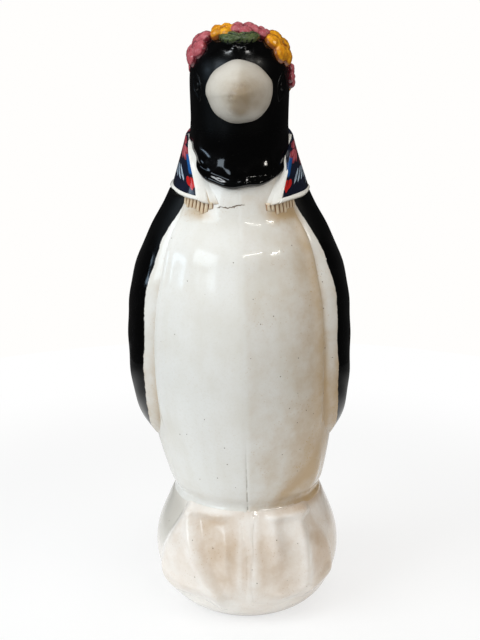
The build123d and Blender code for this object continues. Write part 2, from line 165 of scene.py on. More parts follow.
@dataclass
class Skin:
    """Round skin through level ellipses, a little uneven as hand-pressed clay is.

    A ring is height, half width, half depth, and the middle's x and y, in millimetres.
    """

    rings: Sequence[Sequence[float]]
    swell: float = 0.2
    seed: int = 1
    table: Array = field(init=False)
    waves: Array = field(init=False)

    def __post_init__(self) -> None:
        """Work out the smooth profile and the slow waves of the clay."""
        self.table = spline_table(np.array(self.rings, float), 900)
        chance = np.random.default_rng(self.seed)
        self.waves = np.column_stack(
            [
                chance.integers(1, 6, 7),
                chance.uniform(0.02, 0.09, 7),
                chance.uniform(0, 2 * pi, 7),
                chance.uniform(0.4, 1.0, 7),
            ]
        )

    def height_at(self, share: Array) -> Array:
        """Height at a share of the profile's length, from 0 at its foot to 1 at its top."""
        return np.interp(share, np.linspace(0, 1, len(self.table)), self.table[:, 0])

    def share_at(self, height: Array) -> Array:
        """Share of the profile's length at a height."""
        return np.interp(height, self.table[:, 0], np.linspace(0, 1, len(self.table)))

    def ring(self, height: Array) -> tuple[Array, Array, Array, Array]:
        """Half width, half depth, and the middle's x and y at a height.

        Args:
            height: Height in millimetres.

        Returns:
            The four measures, in millimetres.
        """
        heights = self.table[:, 0]
        half_x, half_y, middle_x, middle_y = (
            np.interp(height, heights, self.table[:, column]) for column in (1, 2, 3, 4)
        )
        return half_x, half_y, middle_x, middle_y

    def unevenness(self, angle: Array, height: Array) -> Array:
        """Sum of slow sine waves round and up the skin, in millimetres.

        Args:
            angle: Angle round the skin, in radians.
            height: Height in millimetres.

        Returns:
            How far the clay stands off the rings, in millimetres.
        """
        total = np.zeros(np.broadcast(angle, height).shape)
        for turns, pace, phase, size in self.waves:
            total += size * np.sin(turns * angle + pace * height + phase)
        return self.swell * total / 3

    def point(self, angle: Array, height: Array, grow: Array | float = 0.0) -> Array:
        """Points of the skin, each ring's half sizes grown by a few millimetres.

        Formula: x = middle + (half width + g) sin(angle), y = middle - (half depth + g)
        cos(angle), where g is the growth and the clay's unevenness together.

        Args:
            angle: Angle round the skin in radians.
            height: Height in millimetres.
            grow: How far the point stands off the skin.

        Returns:
            Points in millimetres, with x, y and z in the last axis.
        """
        angle, height, grow = np.broadcast_arrays(angle, height, grow)
        half_x, half_y, middle_x, middle_y = self.ring(height)
        more = grow + self.unevenness(angle, height)
        x = middle_x + (half_x + more) * np.sin(angle)
        y = middle_y - (half_y + more) * np.cos(angle)
        return np.stack([x, y, height], axis=-1)

    def slab(self, angle: Array, height: Array, rise: Array, depth: float) -> "Form":
        """Shell of clay on the skin: outside it stands off by rise, inside it is sunk by depth."""
        return Form.shell(self.point(angle, height, rise), self.point(angle, height, -depth))

    def angle_of_x(self, x: Array, height: Array) -> Array:
        """Angle on the front half at which the skin has this x."""
        half_x, _, middle_x, _ = self.ring(height)
        return np.arcsin(np.clip((x - middle_x) / half_x, -1, 1))

    def cut_height(self, angle: Array, level: float, tilt: float) -> Array:
        """Height at which a plane that leans back cuts the skin: z = level + tan(tilt) y.

        Args:
            angle: Angle round the skin, in radians.
            level: Height of the plane above the origin.
            tilt: How far it leans back, in degrees.

        Returns:
            The heights, in millimetres.
        """
        height = np.full(np.shape(angle), float(level))
        for _ in range(14):
            _, half_y, _, middle_y = self.ring(height)
            height = level + tan(radians(tilt)) * (middle_y - half_y * np.cos(angle))
        return height

    def holds(self, points: Array) -> Array:
        """Whether points lie inside the skin's rings.

        Args:
            points: Points in millimetres.

        Returns:
            True where a point lies inside.
        """
        half_x, half_y, middle_x, middle_y = self.ring(points[..., 2])
        level = ((points[..., 0] - middle_x) / half_x) ** 2 + ((points[..., 1] - middle_y) / half_y) ** 2
        return (level < 1) & (points[..., 2] < self.table[-1, 0])

    def cast(self, core: Array, ways: Array) -> Array:
        """Distance from a core inside the skin to the skin along each way, found by halving.

        Args:
            core: Point inside the skin.
            ways: Unit vectors, one for each line.

        Returns:
            The distances, in millimetres.
        """
        near = np.zeros(ways.shape[:-1])
        far = np.full(ways.shape[:-1], 90.0)
        for _ in range(26):
            middle = (near + far) / 2
            inside = self.holds(core + ways * middle[..., None])
            near = np.where(inside, middle, near)
            far = np.where(inside, far, middle)
        return near


class Form:
    """Closed surface of one piece: its points in millimetres and its faces."""

    def __init__(self, points: Array, faces: list[Array], poles: tuple[Array, Array] | None) -> None:
        """Keep the surface and turn its faces outwards.

        Args:
            points: Points in millimetres, one a row.
            faces: Arrays of faces, each with its own number of corners.
            poles: Rows of point numbers at the first and last end, where the form has poles.
        """
        self.points = points
        self.poles = poles
        volume = 0.0
        for group in faces:
            corner = points[group]
            for step in range(1, group.shape[1] - 1):
                volume += np.einsum(
                    "ij,ij->", corner[:, 0], np.cross(corner[:, step], corner[:, step + 1])
                )
        self.faces = faces if volume > 0 else [group[:, ::-1] for group in faces]

    @staticmethod
    def grid(index: Array, around: bool) -> Array:
        """Four-cornered faces between the neighbours of a grid of point numbers.

        Args:
            index: Grid of point numbers.
            around: Whether the last column joins the first.

        Returns:
            The faces, one a row.
        """
        if around:
            index = np.concatenate([index, index[:, :1]], axis=1)
        corners = index[:-1, :-1], index[:-1, 1:], index[1:, 1:], index[1:, :-1]
        return np.stack([corner.ravel() for corner in corners], axis=1)

    @classmethod
    def shell(cls, outer: Array, inner: Array) -> "Form":
        """Form between two sheets of the same grid, closed by walls along all four edges.

        Args:
            outer: Grid of points, rows by columns by three.
            inner: The same grid on the hidden side.

        Returns:
            The closed form.
        """
        rows, columns = outer.shape[:2]
        count = rows * columns
        index = np.arange(count).reshape(rows, columns)
        rim = np.concatenate([index[0, :-1], index[:-1, -1], index[-1, :0:-1], index[:0:-1, 0]])
        after = np.roll(rim, -1)
        walls = np.stack([after, rim, rim + count, after + count], axis=1)
        faces = np.concatenate([cls.grid(index, False), cls.grid(index + count, False)[:, ::-1], walls])
        return cls(np.concatenate([outer.reshape(-1, 3), inner.reshape(-1, 3)]), [faces], None)

    @classmethod
    def pod(cls, sheet: Array) -> "Form":
        """Form whose columns run round and whose two ends close in a pole each.

        Args:
            sheet: Grid of points, rows by columns by three.

        Returns:
            The closed form.
        """
        rows, columns = sheet.shape[:2]
        index = np.arange(rows * columns).reshape(rows, columns)
        first, last = index[0], index[-1]
        points = np.concatenate([sheet.reshape(-1, 3), sheet[:1].mean(1), sheet[-1:].mean(1)])
        start = np.full(columns, rows * columns)
        fans = np.concatenate(
            [
                np.stack([np.roll(first, -1), first, start], axis=1),
                np.stack([last, np.roll(last, -1), start + 1], axis=1),
            ]
        )
        return cls(points, [cls.grid(index, True), fans], (first, last))

    @classmethod
    def stub(cls, root: Sequence[float], way: Array, along: Array, x: Array, y: Array) -> "Form":
        """Pod along a straight axis in the middle plane.

        Args:
            root: Where the axis starts.
            way: The axis's direction.
            along: Distance along the axis of each row.
            x: Distance to the penguin's left of the axis.
            y: Distance above the axis, at right angles to it.

        Returns:
            The closed form.
        """
        over = np.array([0.0, abs(way[2]), abs(way[1])])
        rows = np.array(root) + way * along[..., None]
        return cls.pod(rows + x[..., None] * np.array([1.0, 0.0, 0.0]) + y[..., None] * over)

    def spread(self, values: Array) -> Array:
        """Values of one sheet as one value a point: on both sheets, or on the poles too.

        Args:
            values: One value for each point of a sheet.

        Returns:
            One value for each point.
        """
        flat = np.asarray(values, float).reshape(-1)
        if self.poles is None:
            return np.concatenate([flat, flat])
        return np.concatenate([flat, [flat[self.poles[0]].mean(), flat[self.poles[1]].mean()]])


def stand(name: str, data: bpy.types.ID) -> bpy.types.Object:
    """New object in the scene that carries its data.

    Args:
        name: Its name.
        data: Its mesh, lamp or camera.

    Returns:
        The object.
    """
    thing = bpy.data.objects.new(name, data)
    bpy.context.scene.collection.objects.link(thing)
    return thing


@dataclass
class Piece:
    """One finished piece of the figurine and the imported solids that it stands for."""

    name: str
    form: Form
    finish: "Glaze"
    nodes: Sequence[str]
    marks: dict[str, Array] = field(default_factory=dict)
    chart: tuple[Array, Array] | None = None
    crease: float = 50.0

    def make(self) -> bpy.types.Object:
        """Put the form into a mesh, dress it and let it ride on the body.

        Returns:
            The finished piece.
        """
        mesh = bpy.data.meshes.new(self.name)
        corners = [face for group in self.form.faces for face in group.tolist()]
        mesh.from_pydata((self.form.points * MM).tolist(), [], corners)
        for name, values in self.marks.items():
            layer = mesh.attributes.new(name, "FLOAT", "POINT")
            layer.data.foreach_set("value", self.form.spread(values).astype(np.float32))
        if self.chart is not None:
            place = np.stack([self.form.spread(axis) for axis in self.chart], axis=1)
            loops = np.zeros(len(mesh.loops), np.int32)
            mesh.loops.foreach_get("vertex_index", loops)
            layer = mesh.uv_layers.new(name="cloth_chart")
            layer.data.foreach_set("uv", place[loops].astype(np.float32).ravel())
        mesh.polygons.foreach_set("use_smooth", np.ones(len(mesh.polygons), bool))
        mesh.set_sharp_from_angle(angle=radians(self.crease))
        mesh.materials.append(self.finish.material())
        mesh.update()
        thing = stand(self.name, mesh)
        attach(thing, BODY)
        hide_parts(*self.nodes)
        LOG.info("%s: %d points, %d faces", self.name, len(mesh.vertices), len(mesh.polygons))
        return thing


# Finishes


class Signal:
    """A number's socket that takes Python's arithmetic."""

    def __init__(self, dress: "Dress", socket: bpy.types.NodeSocket) -> None:
        """Wrap a socket of a dress."""
        self.dress = dress
        self.socket = socket

    def _maths(self, kind: str, first: Any, second: Any = 0.0) -> "Signal":
        """Math node of a kind with two values or links."""
        return self.dress.add("ShaderNodeMath", {"operation": kind}, {0: first, 1: second})

    def __add__(self, other: Any) -> "Signal":
        """Sum."""
        return self._maths("ADD", self, other)

    __radd__ = __add__

    def __sub__(self, other: Any) -> "Signal":
        """Difference."""
        return self._maths("SUBTRACT", self, other)

    def __rsub__(self, other: Any) -> "Signal":
        """Difference the other way round."""
        return self._maths("SUBTRACT", other, self)

    def __mul__(self, other: Any) -> "Signal":
        """Product."""
        return self._maths("MULTIPLY", self, other)

    __rmul__ = __mul__

    def __truediv__(self, other: Any) -> "Signal":
        """Quotient."""
        return self._maths("DIVIDE", self, other)

    def __pow__(self, other: Any) -> "Signal":
        """Power."""
        return self._maths("POWER", self, other)

    def __abs__(self) -> "Signal":
        """Size without sign."""
        return self._maths("ABSOLUTE", self)

    def __mod__(self, other: Any) -> "Signal":
        """Rest of a division, never below zero."""
        return self._maths("FLOORED_MODULO", self, other)

    def over(self, other: Any) -> "Signal":
        """The larger of two."""
        return self._maths("MAXIMUM", self, other)

    def under(self, other: Any) -> "Signal":
        """The smaller of two."""
        return self._maths("MINIMUM", self, other)

    def sine(self) -> "Signal":
        """Sine."""
        return self._maths("SINE", self)

    def step(self, low: float, high: float) -> "Signal":
        """Soft step from 0 at low to 1 at high, or back where high is the smaller.

        Args:
            low: Where it starts.
            high: Where it ends.

        Returns:
            The step.
        """
        turned = low > high
        return self.dress.add(
            "ShaderNodeMapRange",
            {"interpolation_type": "SMOOTHSTEP"},
            {
                "Value": self,
                "From Min": min(low, high),
                "From Max": max(low, high),
                "To Min": 1.0 if turned else 0.0,
                "To Max": 0.0 if turned else 1.0,
            },
        )


class Dress:
    """Node tree of one finish."""

    def __init__(self, name: str, tree: bpy.types.NodeTree | None = None) -> None:
        """Start an empty tree: a new material's, or one that is handed over.

        Args:
            name: Name of the finish.
            tree: Tree to fill, or none for a new material's.
        """
        if tree is None:
            self.material = bpy.data.materials.new(name)
            self.material.use_nodes = True
            tree = self.material.node_tree
        self.tree = tree
        self.tree.nodes.clear()
        self.place = self.add("ShaderNodeTexCoord", {}, {}, "Object")

    def add(
        self, kind: str, settings: dict[str, Any], inputs: dict[int | str, Any], output: int | str = 0
    ) -> Signal:
        """Any node: its settings first, then the values or links of its sockets.

        Args:
            kind: The node's type.
            settings: Its properties.
            inputs: Value or signal by socket name or number.
            output: Which of its outputs to return.

        Returns:
            The output as a signal.
        """
        node = self.tree.nodes.new(kind)
        for name, value in settings.items():
            setattr(node, name, value)
        for key, value in inputs.items():
            if isinstance(value, Signal):
                self.tree.links.new(value.socket, node.inputs[key])
            elif isinstance(value, tuple) and len(value) == 3 and node.inputs[key].type == "RGBA":
                node.inputs[key].default_value = (*value, 1.0)
            else:
                node.inputs[key].default_value = value
        return Signal(self, node.outputs[output])

    def noise(
        self, size: float, detail: float = 2.0, rough: float = 0.5, place: Signal | None = None
    ) -> Signal:
        """Cloudy noise from 0 to 1 whose clouds are about a size in millimetres.

        Args:
            size: Size of the clouds, in millimetres.
            detail: How many finer layers it has.
            rough: How strong the finer layers are.
            place: Where it is read, or none for the object's own coordinates.

        Returns:
            The noise.
        """
        inputs = {"Vector": place or self.place, "Scale": 1 / (size * MM)}
        inputs.update({"Detail": detail, "Roughness": rough})
        return self.add("ShaderNodeTexNoise", {}, inputs, "Fac")

    def cells(self, scale: float) -> Signal:
        """Distance from the middles of cells strewn through space, scale of them to the metre."""
        inputs = {"Vector": self.place, "Scale": scale}
        return self.add("ShaderNodeTexVoronoi", {"feature": "F1"}, inputs, "Distance")

    def mark(self, name: str) -> Signal:
        """A mark that the mesh carries at its points."""
        return self.add("ShaderNodeAttribute", {"attribute_name": name}, {}, "Fac")

    def light_path(self, kind: str) -> Signal:
        """1 where a ray is of a kind, else 0."""
        return self.add("ShaderNodeLightPath", {}, {}, kind)

    def seen(self) -> Signal:
        """1 where the camera looks straight at a surface or through glass, else 0."""
        return self.light_path("Is Camera Ray") + self.light_path("Is Transmission Ray")

    def axes(self, source: Signal) -> tuple[Signal, Signal, Signal]:
        """The three numbers of a vector.

        Args:
            source: The vector.

        Returns:
            Its x, y and z.
        """
        node = self.tree.nodes.new("ShaderNodeSeparateXYZ")
        self.tree.links.new(source.socket, node.inputs[0])
        x, y, z = (Signal(self, output) for output in node.outputs)
        return x, y, z

    def mix(self, share: Any, first: Any, second: Any) -> Signal:
        """Colour from first to second as share goes from 0 to 1."""
        return self.add("ShaderNodeMix", {"data_type": "RGBA"}, {0: share, 6: first, 7: second}, 2)

    def bump(self, height: Signal, distance: float) -> Signal:
        """Small relief; distance is the height of a full step in millimetres."""
        inputs = {"Strength": 1.0, "Distance": distance * MM, "Height": height}
        return self.add("ShaderNodeBump", {}, inputs, "Normal")

    def close(self, **sockets: Any) -> bpy.types.Material:
        """Shader and output; the names of its sockets have _ for a space.

        Args:
            sockets: Value or signal by the name of the socket.

        Returns:
            The finished material.
        """
        inputs = {name.replace("_", " "): value for name, value in sockets.items()}
        self.end("ShaderNodeOutputMaterial", self.add("ShaderNodeBsdfPrincipled", {}, inputs))
        return self.material

    def end(self, kind: str, surface: Signal) -> None:
        """Output node of a kind with its surface."""
        output = self.tree.nodes.new(kind)
        self.tree.links.new(surface.socket, output.inputs["Surface"])


@dataclass(frozen=True)
class Glaze:
    """A fired glaze. Each kind has its own colours and its own recipe."""

    name: str
    slot: str
    roughness: float = 0.11
    coat: float = 0.35

    def material(self) -> bpy.types.Material:
        """The finish's material, made once."""
        return bpy.data.materials.get(self.name) or self.recipe(Dress(self.name))

    def recipe(self, dress: Dress) -> bpy.types.Material:
        """Nodes of this glaze."""
        raise NotImplementedError

    def waves(self, dress: Dress) -> Signal:
        """Height of the glaze's slow waves and its finer skin, in millimetres."""
        return dress.noise(9, 1) * 0.10 + dress.noise(2.6, 2) * 0.025

    def gloss(self, dress: Dress) -> Signal:
        """Roughness of the glaze, a little uneven."""
        return dress.noise(14, 2) * 0.08 + (self.roughness - 0.04)

    def fire(
        self, dress: Dress, colour: Signal, height: Signal, rough: Any = None, coat: Any = None
    ) -> bpy.types.Material:
        """Shader of a glossy glaze.

        Args:
            dress: Node tree that it goes into.
            colour: Colour of the glaze.
            height: Its relief, in millimetres.
            rough: Roughness, or none for the glaze's own.
            coat: Weight of the clear coat, or none for the glaze's own.

        Returns:
            The finished material.
        """
        return dress.close(
            Base_Color=colour,
            Roughness=self.gloss(dress) if rough is None else rough,
            Coat_Weight=self.coat if coat is None else coat,
            Coat_Roughness=0.04,
            Normal=dress.bump(height, 1.0),
        )

    def fire_dull(
        self, dress: Dress, colour: Signal, height: Signal, dull: Signal, rougher: float, bare: float
    ) -> bpy.types.Material:
        """Shader of a glaze that dust makes rougher, and bare of its coat, where dull is 1."""
        coat = (1 - dull * bare) * self.coat
        return self.fire(dress, colour, height, self.gloss(dress) + dull * rougher, coat)


@dataclass(frozen=True)
class IvoryGlaze(Glaze):
    """White glaze with pinholes and iron specks, browned where glaze pooled in hollows and by painted
    shade, and greyed by painted shade where its mark is below zero.
    """

    ivory: Colour = (0.81, 0.80, 0.765)
    shade: Colour = (0.70, 0.665, 0.585)
    brown_and_shade: Colour = (0.50, 0.325, 0.14)
    speck: Colour = (0.16, 0.11, 0.07)
    dust_and_shade: Colour = (0.50, 0.475, 0.42)

    def ground(self, dress: Dress) -> tuple[Signal, Signal]:
        """Colour of the white glaze, and its pinholes from 0 to 1.

        Args:
            dress: Node tree that the glaze goes into.

        Returns:
            The colour, and the pinholes.
        """
        cloud = dress.noise(26, 3, 0.55).step(0.36, 0.72)
        drawn_out = {"Vector": dress.place, "Scale": (1.0, 1.0, 0.22)}
        streak_place = dress.add("ShaderNodeMapping", {}, drawn_out, "Vector")
        streak = dress.noise(9, 3, 0.5, streak_place).step(0.42, 0.75)
        colour = dress.mix(cloud * 0.45 + streak * 0.25, self.ivory, self.shade)
        grain = dress.noise(1.3, 2, 0.6).step(0.45, 0.75)
        colour = dress.mix(grain * 0.24, colour, self.shade)
        stain = dress.mark("stain")
        # the mark browns the glaze: partly real stain and pooled glaze, partly painted shade
        pooled_and_shade = stain + (dress.noise(7, 4, 0.6) - 0.5) * 0.7 * stain.step(0.02, 0.3)
        colour = dress.mix(pooled_and_shade.step(0.05, 1.15) * 0.85, colour, self.brown_and_shade)
        # below zero the mark greys the glaze: painted shade
        colour = dress.mix(stain.step(-0.02, -0.75) * 0.75, colour, self.dust_and_shade)
        holes = dress.cells(165.0).step(0.062, 0.036)
        specks = dress.cells(620.0).step(0.26, 0.10)
        patchy = dress.noise(12, 3, 0.6).step(0.45, 0.62) * (stain.over(0.0).under(1.0) * 0.9 + 0.14)
        colour = dress.mix(specks * patchy * 0.8, colour, self.brown_and_shade)
        colour = dress.mix(holes * 0.75, colour, self.speck)
        return colour, holes

    def recipe(self, dress: Dress) -> bpy.types.Material:
        """Ivory ground with its pinholes pressed in."""
        colour, holes = self.ground(dress)
        return self.fire(dress, colour, self.waves(dress) - holes * 0.2)


@dataclass(frozen=True)
class TwoToneGlaze(IvoryGlaze):
    """White in front and black behind, with a ragged brush edge at the mark called paint."""

    black: Colour = JET
    ragged: float = 2.0
    crack_middle: float = -8.0
    crack_height: float = 211.5

    def recipe(self, dress: Dress) -> bpy.types.Material:
        """Ivory ground, the mould seam and the firing crack, then the black.

        Args:
            dress: Node tree that the glaze goes into.

        Returns:
            The finished material.
        """
        colour, holes = self.ground(dress)
        x, y, z = dress.axes(dress.place)
        front = y.step(0.004, -0.004)
        # mould seam: near the plane that leans with the body, and only low down
        apart = abs(x + (z - SEAM_FOOT * MM) * SEAM_LEAN)
        breaks = dress.noise(5, 3, 0.6).step(0.30, 0.55)
        seam = apart.step(0.00045, 0.00012) * z.step(0.104, 0.064) * front * (breaks * 0.8 + 0.15)
        colour = dress.mix(seam * 0.55, colour, self.speck)
        # firing crack: a level wavy line across the chest
        along = (x - self.crack_middle * MM) / (6.4 * MM)
        wander = dress.noise(4.5, 3, 0.7) * 0.0042 - 0.0021
        off = abs(z - self.crack_height * MM - along * 0.0009 + wander)
        crack = off.step(0.00038, 0.00010) * abs(along).step(1.1, 0.85) * front
        colour = dress.mix(crack * 0.9, colour, self.speck)
        edge = dress.mark("paint") + (dress.noise(3.4, 3, 0.6) - 0.5) * self.ragged
        painted = edge.step(-0.18, 0.18)
        sheen = dress.mix(dress.noise(6, 3).step(0.5, 0.8) * 0.5, self.black, (0.003, 0.003, 0.0035))
        colour = dress.mix(painted, colour, sheen)
        height = self.waves(dress) - holes * 0.2 * (1 - painted)
        height = height - seam * 0.25 - crack * 0.3 + painted * 0.12
        # the black is duller on the shoulder, where dust lies
        return self.fire_dull(dress, colour, height, painted * z.step(0.186, 0.198), 0.4, 0.95)


@dataclass(frozen=True)
class BlackGlaze(Glaze):
    """Deep black glaze, a little grey where it is thin."""

    black: Colour = JET
    thin: Colour = (0.0045, 0.0045, 0.005)

    def recipe(self, dress: Dress) -> bpy.types.Material:
        """Black with thin places and a few dust specks.

        Args:
            dress: Node tree that the glaze goes into.

        Returns:
            The finished material.
        """
        thin = dress.noise(11, 3, 0.6).step(0.5, 0.85)
        colour = dress.mix(thin * 0.6, self.black, self.thin)
        dust_and_shade = dress.cells(240.0).step(0.05, 0.02)
        colour = dress.mix(dust_and_shade * 0.12, colour, (0.3, 0.28, 0.25))
        # the head is duller between the neck and the beads under the wreath
        _, _, z = dress.axes(dress.place)
        dull = z.step(0.236, 0.252) * z.step(0.2855, 0.2760)
        return self.fire_dull(dress, colour, self.waves(dress), dull, 0.24, 0.9)


@dataclass(frozen=True)
class BeakGlaze(Glaze):
    """Cream glaze, browner on the penguin's left flank and towards the tip, partly glaze tone and partly
    painted shade.
    """

    cream: Colour = (0.61, 0.575, 0.51)
    tone: Colour = (0.34, 0.265, 0.175)
    smudge: Colour = (0.20, 0.15, 0.11)
    black: Colour = (0.004, 0.004, 0.005)

    def recipe(self, dress: Dress) -> bpy.types.Material:
        """Cream with brown tone and painted shade, grey smudges along the mouth and the painted rim.

        Args:
            dress: Node tree that the glaze goes into.

        Returns:
            The finished material.
        """
        worn = dress.noise(7, 4, 0.6)
        toned = dress.mark("tone") + (worn - 0.5) * 0.5
        colour = dress.mix(toned.step(0.0, 1.0), self.cream, self.tone)
        colour = dress.mix(dress.noise(1.6, 2).step(0.5, 0.8) * 0.10, colour, self.tone)
        smudged = dress.mark("smudge") * (dress.noise(2.4, 3, 0.6).step(0.35, 0.62))
        colour = dress.mix(smudged * 0.75, colour, self.smudge)
        rim = (dress.mark("rim") + (worn - 0.5) * 1.1).step(-0.12, 0.12)
        colour = dress.mix(rim, colour, self.black)
        height = dress.noise(6, 2) * 0.12 + dress.noise(1.4, 2) * 0.03
        return self.fire(dress, colour, height, dress.noise(8, 3) * 0.25 + 0.22)


@dataclass(frozen=True)
class BrushedGlaze(Glaze):
    """One colour laid on with a brush in lighter and darker streaks, with painted shade in the creases.
    """

    light: Colour = (0.5, 0.5, 0.5)
    middle: Colour = (0.4, 0.4, 0.4)
    dark: Colour = (0.1, 0.1, 0.1)
    fleck: Colour = (0.8, 0.8, 0.8)
    flecks: float = 0.2
    blotch: float = 0.0

    def recipe(self, dress: Dress) -> bpy.types.Material:
        """Brush streaks over a ground that is darkened with painted shade where its mark is high.

        Args:
            dress: Node tree that the glaze goes into.

        Returns:
            The finished material.
        """
        streak = dress.noise(2.2, 4, 0.65)
        colour = dress.mix(streak.step(0.35, 0.68), self.middle, self.light)
        colour = dress.mix(dress.noise(3.6, 3, 0.6).step(0.46, 0.62) * self.blotch, colour, self.dark)
        deep = dress.mark("stain") + (dress.noise(1.8, 3, 0.6) - 0.5) * 0.8
        colour = dress.mix(deep.step(0.25, 0.95), colour, self.dark)
        bright = dress.noise(1.1, 3, 0.7).step(0.62, 0.74) * self.flecks
        colour = dress.mix(bright, colour, self.fleck)
        return self.fire(dress, colour, dress.noise(1.9, 3, 0.6) * 0.20 + dress.noise(6, 1) * 0.1)


@dataclass(frozen=True)
class FloralGlaze(Glaze):
    """Navy cloth painted with common garden flowers; the chart counts from the lapel and hem.

    The chart's first number is the millimetres from the nearer lapel, the second the
    millimetres above the hem. The motifs come again every period.
    """

    navy: Colour = (0.008, 0.010, 0.022)
    blue: Colour = (0.012, 0.085, 0.28)
    rose: Colour = (0.50, 0.105, 0.13)
    rose_line: Colour = (0.16, 0.012, 0.02)
    red: Colour = (0.50, 0.016, 0.014)
    pale: Colour = (0.42, 0.52, 0.62)
    period: float = 27.0

    def recipe(self, dress: Dress) -> bpy.types.Material:
        """Daisies, tulips, leaf sprigs and short stripes, each in its place in the period.

        Args:
            dress: Node tree that the glaze goes into.

        Returns:
            The finished material.
        """
        chart = dress.add("ShaderNodeUVMap", {"uv_map": "cloth_chart"}, {}, "UV")
        across, up, _ = dress.axes(chart)
        shake = dress.noise(2.6, 2) - 0.5
        across = across % self.period + shake
        up = up + shake * 0.6
        colour = dress.mix(dress.noise(6, 3).step(0.4, 0.8) * 0.5, self.navy, (0.013, 0.020, 0.045))

        # stripe beside the lapel
        stripe = abs(across - 1.3).step(1.5, 0.9) * abs(up - 13.5).step(5.4, 4.2)
        colour = dress.mix(stripe, colour, self.blue)

        # leaf sprig: slanting ellipses in a row
        for middle, lift, first, last in ((7.6, 7.4, 7.2, 22.5), (20.5, 4.6, 21.5, 27.5)):
            lean = across - (up - lift) * 0.45
            cell = lean % 3.5 - 1.75
            inside = (cell / 1.05) ** 2 + ((up - lift - 0.1 * (across - middle)) / 3.3) ** 2
            span = across.step(first, first + 0.8) * across.step(last, last - 0.8)
            colour = dress.mix(inside.step(1.0, 0.72) * span, colour, self.pale)
            vein = inside.step(0.16, 0.04) * span
            colour = dress.mix(vein * 0.7, colour, self.navy)

        # tulip: two round cheeks and a pointed foot
        for middle, lift, size in ((2.6, 4.6, 1.0), (21.0, 21.5, 0.7)):
            aside = abs(across - middle) / size
            above = (up - lift) / size
            cheeks = ((aside - 1.15) / 1.7) ** 2 + ((above - 0.6) / 2.2) ** 2
            foot = (aside + (above + 0.2) * -0.55) / 2.0
            point = foot.step(1.0, 0.85) * above.step(-3.1, -2.6) * above.step(0.8, 0.2)
            heart = cheeks.step(1.0, 0.8).over(point)
            colour = dress.mix(heart, colour, self.red)
            cleft = aside.step(0.45, 0.15) * above.step(-0.4, 1.2) * heart
            colour = dress.mix(cleft, colour, self.rose_line)

        # daisies: petals where the radius is under a wave of the angle
        for middle, lift, size in ((6.0, 20.0, 6.8), (17.0, 15.0, 4.6)):
            colour = self.daisy(dress, colour, across - middle, up - lift, size)
        glow = dress.noise(9, 2) * 0.10
        return self.fire(dress, colour, self.waves(dress) + glow)

    def daisy(self, dress: Dress, colour: Signal, aside: Signal, above: Signal, size: float) -> Signal:
        """A daisy laid over a colour, with outlined petals and a dark eye.

        Args:
            dress: Node tree that the glaze goes into.
            colour: Colour that it is laid over.
            aside: Millimetres beside its middle.
            above: Millimetres above its middle.
            size: Its radius, in millimetres.

        Returns:
            The colour with the daisy on it.
        """
        radius = (aside * aside + above * above) ** 0.5
        angle = dress.add("ShaderNodeMath", {"operation": "ARCTAN2"}, {0: above, 1: aside})
        wave = abs((angle * 4.0).sine())
        edge = radius / (wave ** 0.45 * (0.42 * size) + 0.58 * size)
        petals = edge.step(1.0, 0.9)
        gaps = wave.step(0.35, 0.12) * radius.step(0.15 * size, 0.35 * size)
        lines = (edge.step(0.70, 0.9) * 0.8).over(gaps)
        colour = dress.mix(petals, colour, self.rose)
        colour = dress.mix(lines * petals, colour, self.rose_line)
        return dress.mix(radius.step(0.22 * size, 0.15 * size), colour, self.navy)


TWO_TONE = TwoToneGlaze("two_tone_glaze", "white_glaze", roughness=0.15)
TWO_TONE_WING = TwoToneGlaze("flipper_glaze", "black_glaze", ragged=0.9)
BLACK = BlackGlaze("black_gloss", "black_glaze")
CREAM = BeakGlaze("beak_cream", "beak_glaze", coat=0.15)
FLORAL = FloralGlaze("floral_navy", "navy_glaze")
BISQUE = IvoryGlaze(
    "plinth_ivory",
    "white_glaze",
    ivory=(0.87, 0.835, 0.79),
    shade=(0.78, 0.69, 0.61),
    brown_and_shade=(0.51, 0.35, 0.205),
    roughness=0.13,
)
BORDER = IvoryGlaze("border_ivory", "border_glaze", ivory=(0.87, 0.86, 0.82))
FRINGE = IvoryGlaze(
    "fringe_cream",
    "fringe_glaze",
    ivory=(0.80, 0.70, 0.54),
    shade=(0.62, 0.42, 0.22),
    brown_and_shade=(0.27, 0.11, 0.03),
)
PINK = BrushedGlaze(
    "pink_petals",
    "pink_glaze",
    light=(0.53, 0.160, 0.180),
    middle=(0.39, 0.082, 0.098),
    dark=(0.13, 0.014, 0.022),
    fleck=(0.80, 0.52, 0.52),
    flecks=0.45,
    blotch=0.18,
    coat=0.6,
)
YELLOW = BrushedGlaze(
    "yellow_petals",
    "yellow_glaze",
    light=(0.84, 0.41, 0.02),
    middle=(0.68, 0.25, 0.010),
    dark=(0.26, 0.075, 0.012),
    fleck=(0.82, 0.52, 0.08),
    flecks=0.3,
    blotch=0.42,
    coat=0.6,
)
GREEN = BrushedGlaze(
    "green_leaves",
    "green_glaze",
    light=(0.10, 0.13, 0.05),
    middle=(0.042, 0.060, 0.024),
    dark=(0.006, 0.008, 0.006),
    fleck=(0.16, 0.20, 0.09),
    flecks=0.25,
    coat=0.6,
)


# Plinth and feet


